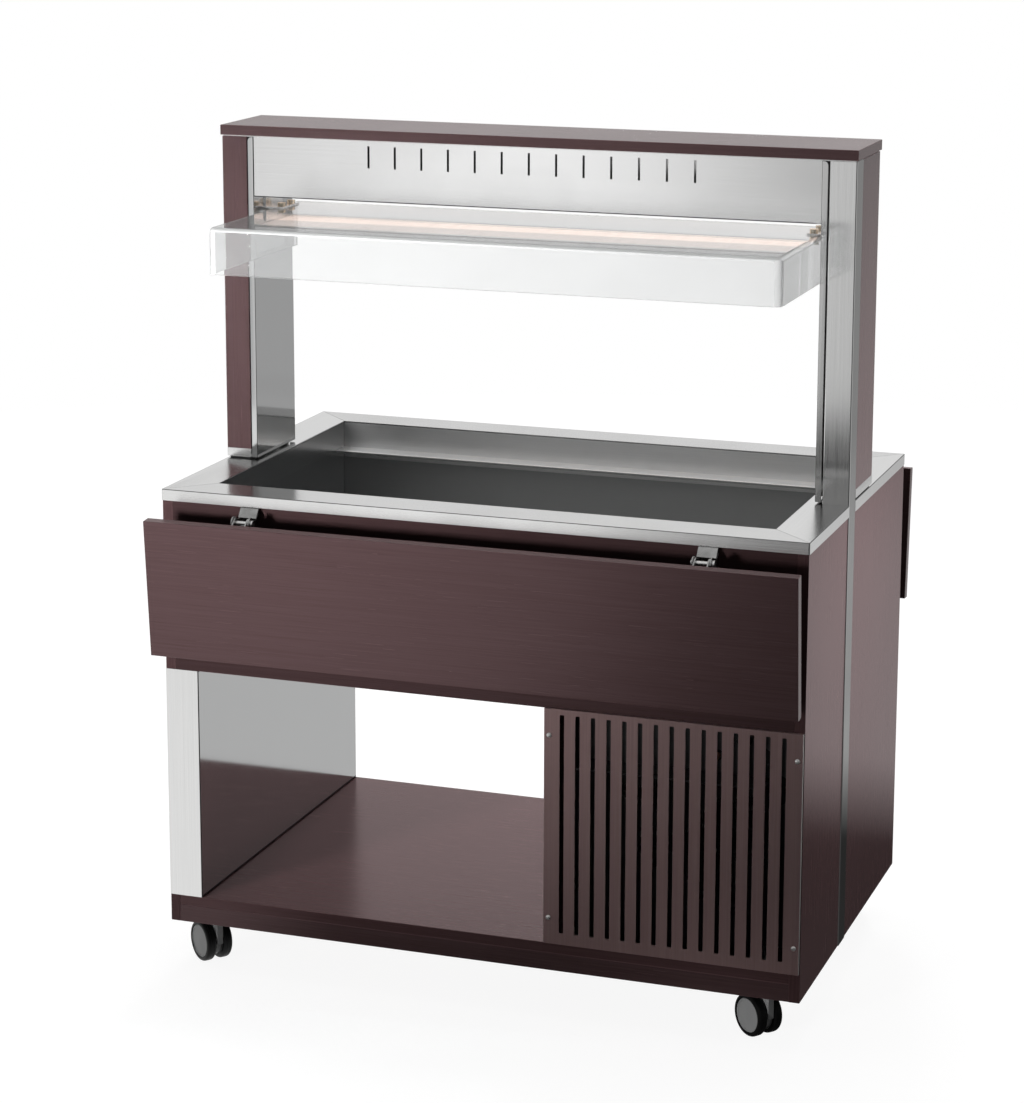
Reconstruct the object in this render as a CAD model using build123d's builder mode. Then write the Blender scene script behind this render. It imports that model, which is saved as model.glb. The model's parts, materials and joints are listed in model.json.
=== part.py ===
from build123d import *
from math import asin, atan2, cos, degrees, hypot, radians, sin
import os

# Buffet cart with a cooled well, two folding leaves, a lit canopy and a clear guard.
# Millimetres. The floor is Z = 0, X runs along the counter and the guest side faces -Y.

# Overall sizes
counter_length = 1165.0
counter_depth = 730.0
counter_height = 885.0
overall_height = 1496.0
floor_gap = 88.0

# Stock
board = 18.0
sheet = 1.5
fit = 0.3
running = 0.05

# Cabinet
base_height = 50.0
unit_width = 452.5
column_width = 62.5
column_liner = 12.0
cladding = 1.0
edge_height = 20.0
edge_round = 3.0
mitre_gap = 0.3

# Cooled well
end_rail = 76.0
side_rail = 74.5
well_depth = 200.0
ledge_drop = 50.0
ledge_width = 39.5
ledge_lip = 5.0
ledge_leg = 20.0
ledge_end_gap = 0.5
foam_side = 24.0
foam_floor = 45.0
foam_top_drop = 20.0
pipe_space = 61.5
coil_pocket = 14.0
coil_pocket_margin = 20.0

# Grilles
grille_depth = 6.0
grille_border = 1.5
slot_count = 15
slot_pitch = 27.67
slot_width = 8.0
slot_round = 2.0
slot_margin_low = 20.5
slot_margin_high = 9.5
rear_slot_low = 66.0
rear_slot_high = 130.0
screw_inset_x = 9.0
screw_inset_z = 47.0
screw_head = 4.5
screw_crown = 2.4
screw_shank = 2.0
screw_bite = 14.0

# Posts
upright_size = 48.0
upright_wall = 2.0
upright_round = 2.5
post_depth = 174.0
cover_depth = 11.0
groove = 1.5
cover_round = 8.0
cover_lift = 3.0
plinth_height = 19.0
plinth_foot = 3.0
plinth_foot_inset = 4.0
wood_recess = 0.5

# Canopy
cap_sheet = 2.0
cap_inset = 2.5
canopy_height = 108.0
canopy_overhang_x = 2.0
canopy_overhang_y = 3.0
canopy_setback = 2.0
canopy_flange = 15.0
canopy_end_gap = 0.5
vent_count = 13
vent_pitch = 50.0
vent_width = 4.0
vent_height = 39.0
vent_drop = 28.0
lamp_recess = 70.0
lamp_recess_start = 4.0
lamp_recess_height = 31.0
lamp_lip = 4.0
lamp_glass = 4.0
lamp_left_gap = 166.5
lamp_right_gap = 56.5
lamp_radius = 6.0
lamp_drop = 13.0
lamp_holder = 22.0

# Guard
guard_end_gap = 10.5
guard_front = 309.0
guard_back = 72.0
guard_height = 82.0
guard_sheet = 6.0
guard_drop = 26.0
guard_corner = 14.0
guard_top_round = 8.0
bracket_width = 75.0
bracket_leg = 36.0
bracket_rise = 24.0
bracket_sheet = 3.0
bracket_middle_y = -2.5
bolt_radius = 4.0
bolt_clear = 0.1
bolt_inset = 27.0
bolt_spread = 43.0
bolt_head = 7.5
bolt_head_height = 6.0
nut_height = 6.0

# Folding leaves
leaf_depth = 247.0
leaf_thickness = 20.0
leaf_tilt = 4.65
leaf_rise = 1.7
leaf_sink = 2.0
leaf_edge_round = 1.0
hinge_reach = 38.5
hinge_drop = 40.0
hinge_inset = 170.5
hinge_width = 34.0
hinge_sheet = 3.0
hinge_plate_height = 66.0
hinge_eye = 11.0
cheek_top_angle = 53.13
cheek_low_angle = -73.74
cheek_bow_angle = -78.7
hinge_bridge = 14.0
hinge_bridge_drop = 15.0
pin_radius = 4.0
pin_head = 6.5
pin_head_length = 4.0
lug_eye = 9.0
lug_gap = 0.5
lug_plate = 70.0
lug_foot = 42.0

# Casters
wheel_radius = 37.5
hub_radius = 30.0
tyre_width = 18.0
tyre_round = 5.0
tyre_fit = 0.1
wheel_gap = 14.0
hub_dish = 2.0
hub_cap = 4.0
axle_radius = 4.0
trail = 22.0
caster_yaw = 142.0
caster_inset_x = 50.0
caster_inset_y = 27.5
caster_recess = 12.0
caster_plate = 52.0
caster_plate_sheet = 3.0
caster_plate_round = 6.0
swivel_radius = 17.0
swivel_pin = 6.0
swivel_pin_length = 15.0
housing_thickness = 12.0
housing_radius = 29.0
housing_neck = 26.0
wheel_head_gap = 2.0
block_width = 90.0

# Cooling unit behind the grilles
tray_margin_x = 18.5
tray_front_gap = 21.0
tray_depth = 600.0
tray_edge = 12.0
compressor_radius = 75.0
compressor_height = 190.0
compressor_inset = 114.5
compressor_y = 170.0
compressor_foot = 4.0
compressor_foot_size = 170.0
compressor_foot_round = 21.0
compressor_crown = 37.5
port_radius = 9.0
port_rise = 14.0
condenser_length = 330.0
condenser_depth = 60.0
condenser_height = 310.0
condenser_gap = 7.0
fin_pitch = 15.0
fin_sheet = 1.0
tube_rows = 6
tube_radius = 4.5
fan_opening = 110.0
fan_tip = 102.0
fan_hub = 30.0
blade_root = 24.0
fan_hub_depth = 26.0
fan_gap = 9.0
fan_blades_count = 5
blade_sheet = 2.0
blade_root_chord = 34.0
blade_tip_chord = 62.0
blade_root_pitch = 40.0
blade_tip_pitch = 24.0
motor_radius = 38.0
motor_length = 47.0
motor_shaft = 4.0
motor_shaft_bite = 12.0
motor_gap = 9.0
motor_bar = 20.0
motor_bar_sheet = 3.0
pipe_radius = 5.0
pipe_clear = 2.0
coil_runs = 6
coil_pitch = 88.0
coil_end_gap = 76.5
coil_bend = 40.0
riser_offset = 40.0
riser_bend = 14.0
discharge_rise = 30.5
liquid_rise = 60.5
discharge_offset_x = 10.0
discharge_offset_y = 40.0

# Drain under the well
drain_inset = 93.5
drain_radius = 14.0
drain_flange = 24.0
drain_flange_sheet = 2.0
drain_length = 125.0
valve_radius = 20.0
valve_height = 40.0
valve_above_end = 40.0
stem_radius = 4.0
stem_length = 12.0
lever_length = 90.0
lever_width = 16.0
lever_sheet = 4.0

# Controls and cable inlet on the rear grille
control_length = 170.0
control_height = 64.0
control_sheet = 3.0
control_drop = 60.0
control_round = 6.0
rocker_width = 13.4
rocker_height = 20.4
rocker_opening_gap = 0.3
rocker_opening_rise = 1.3
rocker_tilt = 8.0
rocker_root = 3.0
rocker_taper = 3.0
rocker_rise = 4.5
rocker_dip = 2.0
rocker_spacing = 30.0
rocker_first = -54.0
knob_offset = 46.0
knob_radius = 15.0
knob_depth = 14.0
knob_shaft = 3.0
knob_gap = 0.5
knob_round = 1.5
gland_rise = 36.0
gland_offset = 180.0
gland_thread = 6.0
gland_hex = 9.0
gland_hex_depth = 9.0
gland_dome_depth = 9.0
gland_dome_taper = 10.0
gland_bore = 3.0

# Places worked out from the sizes above
half_x = counter_length / 2
half_y = counter_depth / 2
body_x = half_x - sheet
body_y = half_y - sheet
inner_x = body_x - board
inner_y = body_y - board
counter_under = counter_height - sheet
base_top = floor_gap + base_height
rail_top = base_top - board
upright_in = half_x - upright_size
post_half = post_depth / 2
upright_back = upright_size - post_half
cover_out = upright_in - groove
cover_in = cover_out - cover_depth
board_under = overall_height - board
post_top = board_under - cap_sheet
canopy_bottom = post_top - canopy_height
guard_top = canopy_bottom - guard_drop
well_x = half_x - end_rail
well_y = half_y - side_rail
well_floor = counter_height - well_depth
tub_under = well_floor - sheet
foam_bottom = tub_under - foam_floor
bay_top = foam_bottom - pipe_space - board
column_in = -body_x + column_width
partition_x = body_x - unit_width
partition_in = partition_x + board
grille_right = body_x - grille_border
grille_low = base_top + grille_border
grille_high = bay_top + grille_border
grille_x = (partition_x + grille_right) / 2
grille_z = (grille_low + grille_high) / 2
grille_face = body_y + grille_depth
screw_xs = (partition_x + screw_inset_x, grille_right - screw_inset_x)
screw_zs = (grille_low + screw_inset_z, grille_high - screw_inset_z)
pivot_y = -(body_y + hinge_reach)
pivot_z = counter_height - hinge_drop
leaf_face = hinge_drop - leaf_sink
control_z = grille_high - control_drop
rocker_xs = (grille_x + rocker_first, grille_x + rocker_first + rocker_spacing)
knob_x = grille_x + knob_offset
gland_x = grille_x + gland_offset
gland_z = grille_low + gland_rise
compressor_x = upright_in - compressor_inset
riser_x = compressor_x + riser_offset
discharge_x = compressor_x - discharge_offset_x
discharge_y = compressor_y - discharge_offset_y
coil_half = well_x - coil_end_gap
drain_x = partition_in + drain_inset
drain_y = coil_pitch * (coil_runs % 2) / 2
hinge_x = half_x - hinge_inset
caster_x = inner_x - caster_inset_x
caster_y = inner_y - caster_inset_y
half_turn = 180.0


def slab(x_span, y_span, z_span, mode=Mode.ADD):
    """Add or cut a square-edged board or plate between three pairs of limits."""
    size = (x_span[1] - x_span[0], y_span[1] - y_span[0], z_span[1] - z_span[0])
    with Locations((x_span[0], y_span[0], z_span[0])):
        Box(*size, align=(Align.MIN, Align.MIN, Align.MIN), mode=mode)


def turned(piece):
    """Return a piece turned half way round the cart's upright axis."""
    return piece.rotate(Axis.Z, half_turn)


pieces = {}

# Space that an upright takes out of the boards and the counter
with BuildPart() as upright_space:
    slab(
        (upright_in - fit, half_x + fit),
        (-post_half - fit, upright_back + fit),
        (floor_gap, counter_height),
    )

# Base: two rails, four corner blocks for the casters and the floor of the bay
with BuildPart() as base_rails:
    for side in (-1, 1):
        rail_y = sorted((side * inner_y, side * body_y))
        slab((-inner_x, inner_x), rail_y, (floor_gap, rail_top))
        block_y = sorted((side * (2 * caster_y - inner_y), side * inner_y))
        for end in (-1, 1):
            block_x = (end * caster_x - block_width / 2, end * caster_x + block_width / 2)
            slab(block_x, block_y, (floor_gap + caster_recess, rail_top))
pieces["base_rails"] = base_rails

with BuildPart() as bottom_board:
    slab((-inner_x, inner_x), (-body_y, body_y), (rail_top, base_top))
    add(upright_space.part, mode=Mode.SUBTRACT)
    add(turned(upright_space.part), mode=Mode.SUBTRACT)
pieces["bottom_board"] = bottom_board

# Side panels: each side is split by the steel upright that shows as a strip
with BuildPart() as side_panels_right:
    slab((inner_x, body_x), (-body_y, -post_half), (floor_gap, counter_under))
    slab((inner_x, body_x), (upright_back, body_y), (floor_gap, counter_under))
    for screw_z in screw_zs:
        for side in (-1, 1):
            with Locations(Location((screw_xs[1], side * body_y, screw_z), (90, 0, 0))):
                Cylinder(screw_shank + running, 2 * screw_bite, mode=Mode.SUBTRACT)
pieces["side_panels_right"] = side_panels_right

with BuildPart() as side_panels_left:
    slab((-body_x, -inner_x), (-body_y, -upright_back), (floor_gap, counter_under))
    slab((-body_x, -inner_x), (post_half, body_y), (floor_gap, counter_under))
pieces["side_panels_left"] = side_panels_left

# Uprights: square tubes from the cabinet's lower edge to the canopy
with BuildPart() as uprights:
    upright_middle = (half_x - upright_size / 2, upright_back - upright_size / 2)
    for turn in (1, -1):
        with BuildSketch(Plane.XY.offset(floor_gap)):
            with Locations((turn * upright_middle[0], turn * upright_middle[1])):
                RectangleRounded(upright_size, upright_size, upright_round)
                bore = upright_size - 2 * upright_wall
                Rectangle(bore, bore, mode=Mode.SUBTRACT)
        extrude(amount=post_top - floor_gap)
pieces["uprights"] = uprights

# Fascia boards behind the leaves
with BuildPart() as fascia_boards:
    slab((-inner_x, inner_x), (-body_y, -inner_y), (bay_top, counter_under))
    slab((-inner_x, inner_x), (inner_y, body_y), (bay_top, counter_under))
pieces["fascia_boards"] = fascia_boards

# Bay: walls, ceiling and the bright cladding round the left column
with BuildPart() as bay_walls:
    slab((partition_x, partition_in), (-body_y, body_y), (base_top, bay_top))
    liner_x = (column_in - cladding - column_liner, column_in - cladding)
    slab(liner_x, (-body_y, body_y), (base_top, bay_top))
    for screw_z in screw_zs:
        for side in (-1, 1):
            with Locations(Location((screw_xs[0], side * body_y, screw_z), (90, 0, 0))):
                Cylinder(screw_shank + running, 2 * screw_bite, mode=Mode.SUBTRACT)
pieces["bay_walls"] = bay_walls

with BuildPart() as bay_ceiling:
    slab((liner_x[0], partition_in), (-inner_y, inner_y), (bay_top, bay_top + board))
pieces["bay_ceiling"] = bay_ceiling

with BuildPart() as column_cladding:
    with BuildSketch(Plane.XY.offset(base_top)):
        with Locations((-body_x, 0)):
            to_middle = (Align.MIN, Align.CENTER)
            Rectangle(column_width, 2 * (body_y + cladding), align=to_middle)
            Rectangle(column_width - cladding, 2 * body_y, align=to_middle, mode=Mode.SUBTRACT)
    extrude(amount=bay_top - base_top)
pieces["column_cladding"] = column_cladding


# Grilles: folded pans with upright slots, screwed to the partition and the side panel
def grille_pan(slot_low, slot_high):
    """Return a slotted pan for the front, with its slots between two heights."""
    with BuildPart() as pan:
        with BuildSketch(Plane.XZ.offset(body_y)):
            with Locations((grille_x, grille_z)):
                Rectangle(grille_right - partition_x, grille_high - grille_low)
        extrude(amount=grille_depth)
        back = pan.faces().sort_by(Axis.Y)[-1]
        offset(amount=-sheet, openings=back)
        with BuildSketch(Plane.XZ.offset(grille_face)):
            with Locations((grille_x, (slot_low + slot_high) / 2)):
                with GridLocations(slot_pitch, 0, slot_count, 1):
                    RectangleRounded(slot_width, slot_high - slot_low, slot_round)
            with Locations(*((x, z) for x in screw_xs for z in screw_zs)):
                Circle(screw_shank + running)
        extrude(amount=-sheet, mode=Mode.SUBTRACT)
    return pan.part


front_pan = grille_pan(grille_low + slot_margin_low, grille_high - slot_margin_high)
with BuildPart() as grille_front:
    add(front_pan)
pieces["grille_front"] = grille_front

rocker_opening = (rocker_width + 2 * rocker_opening_gap, rocker_height + 2 * rocker_opening_rise)
rear_pan = grille_pan(grille_low + rear_slot_low, grille_high - rear_slot_high)
with BuildPart() as grille_rear:
    add(rear_pan.mirror(Plane.XZ))
    with BuildSketch(Plane.XZ.offset(-grille_face)):
        with Locations(*((x, control_z) for x in rocker_xs)):
            Rectangle(*rocker_opening)
        with Locations((knob_x, control_z)):
            Circle(knob_shaft + running)
        with Locations((gland_x, gland_z)):
            Circle(gland_thread + running)
    extrude(amount=sheet, mode=Mode.SUBTRACT)
pieces["grille_rear"] = grille_rear

crown_radius = (screw_head**2 + screw_crown**2) / (2 * screw_crown)
crown_angle = degrees(asin((crown_radius - screw_crown) / crown_radius))
with BuildPart() as grille_screw:
    with BuildSketch(Plane.XY):
        with BuildLine():
            Polyline(
                (0, screw_crown),
                (0, -screw_bite),
                (screw_shank, -screw_bite),
                (screw_shank, 0),
                (screw_head, 0),
            )
            CenterArc((0, screw_crown - crown_radius), crown_radius, crown_angle, 90 - crown_angle)
        make_face()
    revolve(axis=Axis.Y)

with BuildPart() as grille_screws:
    for screw_x in screw_xs:
        for screw_z in screw_zs:
            add(Location((screw_x, grille_face, screw_z)) * grille_screw.part)
            add(Location((screw_x, -grille_face, screw_z), (0, 0, half_turn)) * grille_screw.part)
pieces["grille_screws"] = grille_screws

# Counter: four mitred steel rails round the well, notched for the uprights
with BuildPart() as counter_top:
    with BuildSketch(Plane.XY.offset(counter_under)):
        RectangleRounded(counter_length, counter_depth, edge_round)
        Rectangle(2 * well_x, 2 * well_y, mode=Mode.SUBTRACT)
    extrude(amount=sheet)
    with BuildSketch(Plane.XY.offset(counter_height - edge_height)):
        RectangleRounded(counter_length, counter_depth, edge_round)
        Rectangle(2 * body_x, 2 * body_y, mode=Mode.SUBTRACT)
    extrude(amount=edge_height)
    with BuildSketch(Plane.XY.offset(counter_height - edge_height)):
        mitre_x = half_x - well_x
        mitre_y = half_y - well_y
        for end, side in ((-1, -1), (-1, 1), (1, -1), (1, 1)):
            mitre_angle = degrees(atan2(side * mitre_y, end * mitre_x))
            with Locations(Location((end * well_x, side * well_y), mitre_angle)):
                Rectangle(2 * hypot(mitre_x, mitre_y), mitre_gap)
    extrude(amount=edge_height, mode=Mode.SUBTRACT)
    add(upright_space.part, mode=Mode.SUBTRACT)
    add(turned(upright_space.part), mode=Mode.SUBTRACT)
pieces["counter_top"] = counter_top

# Well: tub welded from a floor and four walls, pan ledges, foam jacket
tub_x = well_x + sheet
tub_y = well_y + sheet
with BuildPart() as well_tub:
    slab((-tub_x, tub_x), (-tub_y, tub_y), (tub_under, well_floor))
    with Locations((drain_x, drain_y, well_floor)):
        Cylinder(drain_radius + running, 4 * sheet, mode=Mode.SUBTRACT)
    wall_z = (well_floor + running, counter_under)
    for side in (-1, 1):
        long_y = sorted((side * well_y, side * tub_y))
        slab((-tub_x, tub_x), long_y, wall_z)
        short_x = sorted((side * well_x, side * tub_x))
        slab(short_x, (-well_y + running, well_y - running), wall_z)
pieces["well_tub"] = well_tub

with BuildPart() as well_ledges:
    ledge_top = counter_height - ledge_drop
    ledge_in = well_y - ledge_width
    for side in (-1, 1):
        with BuildSketch(Plane.YZ.offset(-well_x + ledge_end_gap)):
            with BuildLine():
                Polyline(
                    (side * ledge_in, ledge_top - ledge_lip),
                    (side * ledge_in, ledge_top),
                    (side * well_y, ledge_top),
                    (side * well_y, ledge_top - ledge_leg),
                    (side * (well_y - sheet), ledge_top - ledge_leg),
                    (side * (well_y - sheet), ledge_top - sheet),
                    (side * (ledge_in + sheet), ledge_top - sheet),
                    (side * (ledge_in + sheet), ledge_top - ledge_lip),
                    close=True,
                )
            make_face()
        extrude(amount=2 * (well_x - ledge_end_gap))
pieces["well_ledges"] = well_ledges

coil_z = tub_under - running - pipe_radius
coil_reach = coil_pitch * (coil_runs - 1) / 2
with BuildPart() as well_insulation:
    with BuildSketch(Plane.XY.offset(foam_bottom)):
        Rectangle(2 * (tub_x + foam_side), 2 * (tub_y + foam_side))
    extrude(amount=counter_under - foam_top_drop - foam_bottom)
    with BuildSketch(Plane.XY.offset(tub_under)):
        Rectangle(2 * tub_x, 2 * tub_y)
    extrude(amount=counter_under - tub_under, mode=Mode.SUBTRACT)
    with BuildSketch(Plane.XY.offset(tub_under - coil_pocket)):
        pocket_x = max(riser_x, coil_half) + coil_pocket_margin
        Rectangle(2 * pocket_x, 2 * (coil_reach + coil_pocket_margin))
    extrude(amount=coil_pocket, mode=Mode.SUBTRACT)
    with Locations((riser_x, -coil_reach, foam_bottom), (riser_x, coil_reach, foam_bottom)):
        Cylinder(pipe_radius + pipe_clear, 2 * foam_floor, mode=Mode.SUBTRACT)
    with Locations((drain_x, drain_y, foam_bottom)):
        Cylinder(drain_radius + pipe_clear, 2 * foam_floor, mode=Mode.SUBTRACT)
pieces["well_insulation"] = well_insulation

# Drain: strainer flange, tail pipe and ball valve with its lever
drain_end = well_floor - drain_length
valve_z = drain_end + valve_above_end
with BuildPart() as drain_valve:
    with Locations((drain_x, drain_y, well_floor)):
        drain_up = (Align.CENTER, Align.CENTER, Align.MIN)
        drain_down = (Align.CENTER, Align.CENTER, Align.MAX)
        Cylinder(drain_flange, drain_flange_sheet, align=drain_up)
        Cylinder(drain_radius, drain_length, align=drain_down)
    with BuildSketch(Plane.XY.offset(valve_z - valve_height / 2)):
        with Locations((drain_x, drain_y)):
            RegularPolygon(valve_radius, 6)
    extrude(amount=valve_height)
    with BuildSketch(Plane.XY.offset(drain_end)):
        with Locations((drain_x, drain_y)):
            Circle(drain_radius - 2 * sheet)
    extrude(amount=drain_length + drain_flange_sheet, mode=Mode.SUBTRACT)
    stem_start = drain_y + drain_radius
    stem_end = drain_y + valve_radius + stem_length
    with Locations(Location((drain_x, stem_start, valve_z), (-90, 0, 0))):
        Cylinder(stem_radius, stem_end - stem_start, align=drain_up)
pieces["drain_valve"] = drain_valve

with BuildPart() as drain_lever:
    lever_y = stem_end - lever_sheet
    with BuildSketch(Plane.XZ.offset(-lever_y)):
        with Locations((drain_x, valve_z)):
            Circle(lever_width / 2 + sheet)
            with Locations((lever_length / 2, 0)):
                SlotCenterToCenter(lever_length, lever_width)
            Circle(stem_radius + running, mode=Mode.SUBTRACT)
    extrude(amount=-lever_sheet)
pieces["drain_lever"] = drain_lever

# Cooling unit: tray, compressor, finned condenser, fan and copper lines
condenser_front = -inner_y + condenser_gap
condenser_back = condenser_front + condenser_depth
condenser_x = (partition_in + upright_in) / 2
tray_floor = base_top + sheet
condenser_top = tray_floor + condenser_height
with BuildPart() as unit_tray:
    tray_x = (partition_in + tray_margin_x, upright_in - tray_margin_x)
    tray_y = (-body_y + tray_front_gap, -body_y + tray_front_gap + tray_depth)
    slab(tray_x, tray_y, (base_top, base_top + tray_edge))
    offset(amount=-sheet, openings=unit_tray.faces().sort_by(Axis.Z)[-1])
pieces["unit_tray"] = unit_tray

shell_low = tray_floor + compressor_foot
shell_top = shell_low + compressor_height
port_top = shell_top + port_rise
with BuildPart() as compressor:
    with BuildSketch(Plane.XY.offset(tray_floor)):
        with Locations((compressor_x, compressor_y)):
            RectangleRounded(compressor_foot_size, compressor_foot_size, compressor_foot_round)
    extrude(amount=compressor_foot)
    with BuildSketch(Plane.XY.offset(shell_low)):
        with Locations((compressor_x, compressor_y)):
            Circle(compressor_radius)
    extrude(amount=compressor_height)
    shell_top_edge = compressor.edges().filter_by(GeomType.CIRCLE).sort_by(Axis.Z)[-1]
    fillet(shell_top_edge, compressor_crown)
    with Locations((riser_x, coil_reach, port_top), (discharge_x, discharge_y, port_top)):
        Cylinder(port_radius, port_rise + compressor_crown, align=drain_down)
    with Locations((compressor_x, compressor_y, shell_low + compressor_height / 2)):
        Cylinder(compressor_radius + 2 * sheet, 2 * sheet)
pieces["compressor"] = compressor

with BuildPart() as condenser:
    fin_count = int(condenser_length / fin_pitch)
    with BuildSketch(Plane.XY.offset(tray_floor)):
        with Locations((condenser_x, (condenser_front + condenser_back) / 2)):
            with GridLocations(fin_pitch, 0, fin_count, 1):
                Rectangle(fin_sheet, condenser_depth)
    extrude(amount=condenser_height)
    header_x = (condenser_x - condenser_length / 2, condenser_x + condenser_length / 2)
    slab(header_x, (condenser_front, condenser_back), (condenser_top - 2 * sheet, condenser_top))
    slab(header_x, (condenser_front, condenser_back), (tray_floor, tray_floor + 2 * sheet))
    with BuildSketch(Plane.YZ.offset(header_x[0])):
        with Locations(((condenser_front + condenser_back) / 2, tray_floor + condenser_height / 2)):
            with GridLocations(condenser_depth / 2, condenser_height / tube_rows, 2, tube_rows):
                Circle(tube_radius)
    extrude(amount=condenser_length)
pieces["condenser"] = condenser

# The fan turns on Y behind the condenser
fan_z = tray_floor + condenser_height / 2
plate_back = condenser_back + 2 * sheet
blade_front = plate_back + fan_gap
blade_back = blade_front + fan_hub_depth
motor_front = blade_back + motor_gap
motor_back = motor_front + motor_length
bar_back = motor_back + motor_bar_sheet
liquid_crossing = condenser_top + liquid_rise
pipe_crossing = condenser_top + discharge_rise
with BuildPart() as fan_frame:
    with BuildSketch(Plane.XZ.offset(-plate_back)):
        with Locations((condenser_x, fan_z)):
            Rectangle(condenser_length, condenser_height)
            Circle(fan_opening, mode=Mode.SUBTRACT)
    extrude(amount=2 * sheet)
    with BuildSketch(Plane.XZ.offset(-blade_front)):
        with Locations((condenser_x, fan_z)):
            Circle(fan_opening + sheet)
            Circle(fan_opening, mode=Mode.SUBTRACT)
    extrude(amount=blade_front - plate_back)
    with BuildSketch(Plane.YZ.offset(condenser_x - motor_bar / 2)):
        bracket_reach = bar_back - plate_back
        bracket_half = fan_opening + motor_bar
        with Locations(((plate_back + bar_back) / 2, fan_z)):
            Rectangle(bracket_reach, 2 * bracket_half)
        with Locations(((plate_back + motor_back) / 2, fan_z)):
            Rectangle(motor_back - plate_back, 2 * (bracket_half - motor_bar_sheet), mode=Mode.SUBTRACT)
    extrude(amount=motor_bar)
    with BuildSketch(Plane.XZ.offset(-motor_back)):
        with Locations((condenser_x, fan_z)):
            Circle(motor_radius)
    extrude(amount=motor_length)
    with BuildSketch(Plane.XZ.offset(-motor_front)):
        with Locations((condenser_x, fan_z)):
            Circle(motor_shaft + running)
    extrude(amount=-motor_shaft_bite - running, mode=Mode.SUBTRACT)
    # Sheets round the frame make the fan draw through the condenser alone
    baffle_x = (partition_in + running, inner_x - running)
    baffle_y = (condenser_back, plate_back)
    baffle_low = base_top + tray_edge + running
    slab((baffle_x[0], header_x[0] - running), baffle_y, (baffle_low, condenser_top))
    slab((header_x[1] + running, baffle_x[1]), baffle_y, (baffle_low, condenser_top))
    slab(baffle_x, baffle_y, (condenser_top + running, bay_top - running))
    with BuildSketch(Plane.XZ.offset(-plate_back)):
        with Locations((riser_x, liquid_crossing), (discharge_x, pipe_crossing)):
            Circle(pipe_radius + pipe_clear)
    extrude(amount=2 * sheet, mode=Mode.SUBTRACT)
pieces["fan_frame"] = fan_frame

with BuildPart() as fan_blade:
    for radius, chord, pitch in (
        (blade_root, blade_root_chord, blade_root_pitch),
        (fan_tip, blade_tip_chord, blade_tip_pitch),
    ):
        with BuildSketch(Plane(origin=(radius, 0, 0), x_dir=(0, 0, 1), z_dir=(1, 0, 0))):
            Rectangle(chord, blade_sheet, rotation=pitch)
    loft(ruled=True)

with BuildPart() as fan_blades:
    blade_middle = (blade_front + blade_back) / 2
    with BuildSketch(Plane.XZ.offset(-blade_back)):
        with Locations((condenser_x, fan_z)):
            Circle(fan_hub)
    extrude(amount=fan_hub_depth)
    with BuildSketch(Plane.XZ.offset(-blade_back)):
        with Locations((condenser_x, fan_z)):
            Circle(motor_shaft)
    extrude(amount=-motor_gap - motor_shaft_bite)
    for blade_turn in range(fan_blades_count):
        blade_angle = blade_turn * 2 * half_turn / fan_blades_count
        add(Location((condenser_x, blade_middle, fan_z), (0, blade_angle, 0)) * fan_blade.part)
pieces["fan_blades"] = fan_blades

condenser_y = (condenser_front + condenser_back) / 2
with BuildPart() as copper_lines:
    coil_points = [
        (riser_x, condenser_y, condenser_top),
        (riser_x, condenser_y, liquid_crossing),
        (riser_x, -coil_reach, liquid_crossing),
        (riser_x, -coil_reach, coil_z),
    ]
    for run in range(coil_runs):
        run_y = run * coil_pitch - coil_reach
        run_ends = (coil_half, -coil_half) if run % 2 == 0 else (-coil_half, coil_half)
        coil_points += [(end, run_y, coil_z) for end in run_ends if not (run == 0 and end > 0)]
    coil_points[-1] = (riser_x, coil_reach, coil_z)
    coil_points.append((riser_x, coil_reach, port_top))
    bends = [riser_bend] * 3 + [coil_bend] * (2 * coil_runs - 2) + [riser_bend]
    with BuildLine() as coil_path:
        FilletPolyline(*coil_points, radius=bends)
    with BuildSketch(Plane(origin=coil_points[0], z_dir=(0, 0, 1))):
        Circle(pipe_radius)
    sweep(path=coil_path.line)
    with BuildLine() as discharge_path:
        FilletPolyline(
            (discharge_x, discharge_y, port_top),
            (discharge_x, discharge_y, pipe_crossing),
            (discharge_x, condenser_y, pipe_crossing),
            (discharge_x, condenser_y, condenser_top),
            radius=riser_bend,
        )
    with BuildSketch(Plane(origin=(discharge_x, discharge_y, port_top), z_dir=(0, 0, 1))):
        Circle(pipe_radius)
    sweep(path=discharge_path.line)
pieces["copper_lines"] = copper_lines

# Controls on the rear grille
with BuildPart() as control_plate:
    with BuildSketch(Plane.XZ.offset(-grille_face)):
        with Locations((grille_x, control_z)):
            RectangleRounded(control_length, control_height, control_round)
        with Locations(*((x, control_z) for x in rocker_xs)):
            Rectangle(*rocker_opening, mode=Mode.SUBTRACT)
        with Locations((knob_x, control_z)):
            Circle(knob_shaft + running, mode=Mode.SUBTRACT)
    extrude(amount=-control_sheet)
pieces["control_plate"] = control_plate

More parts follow.
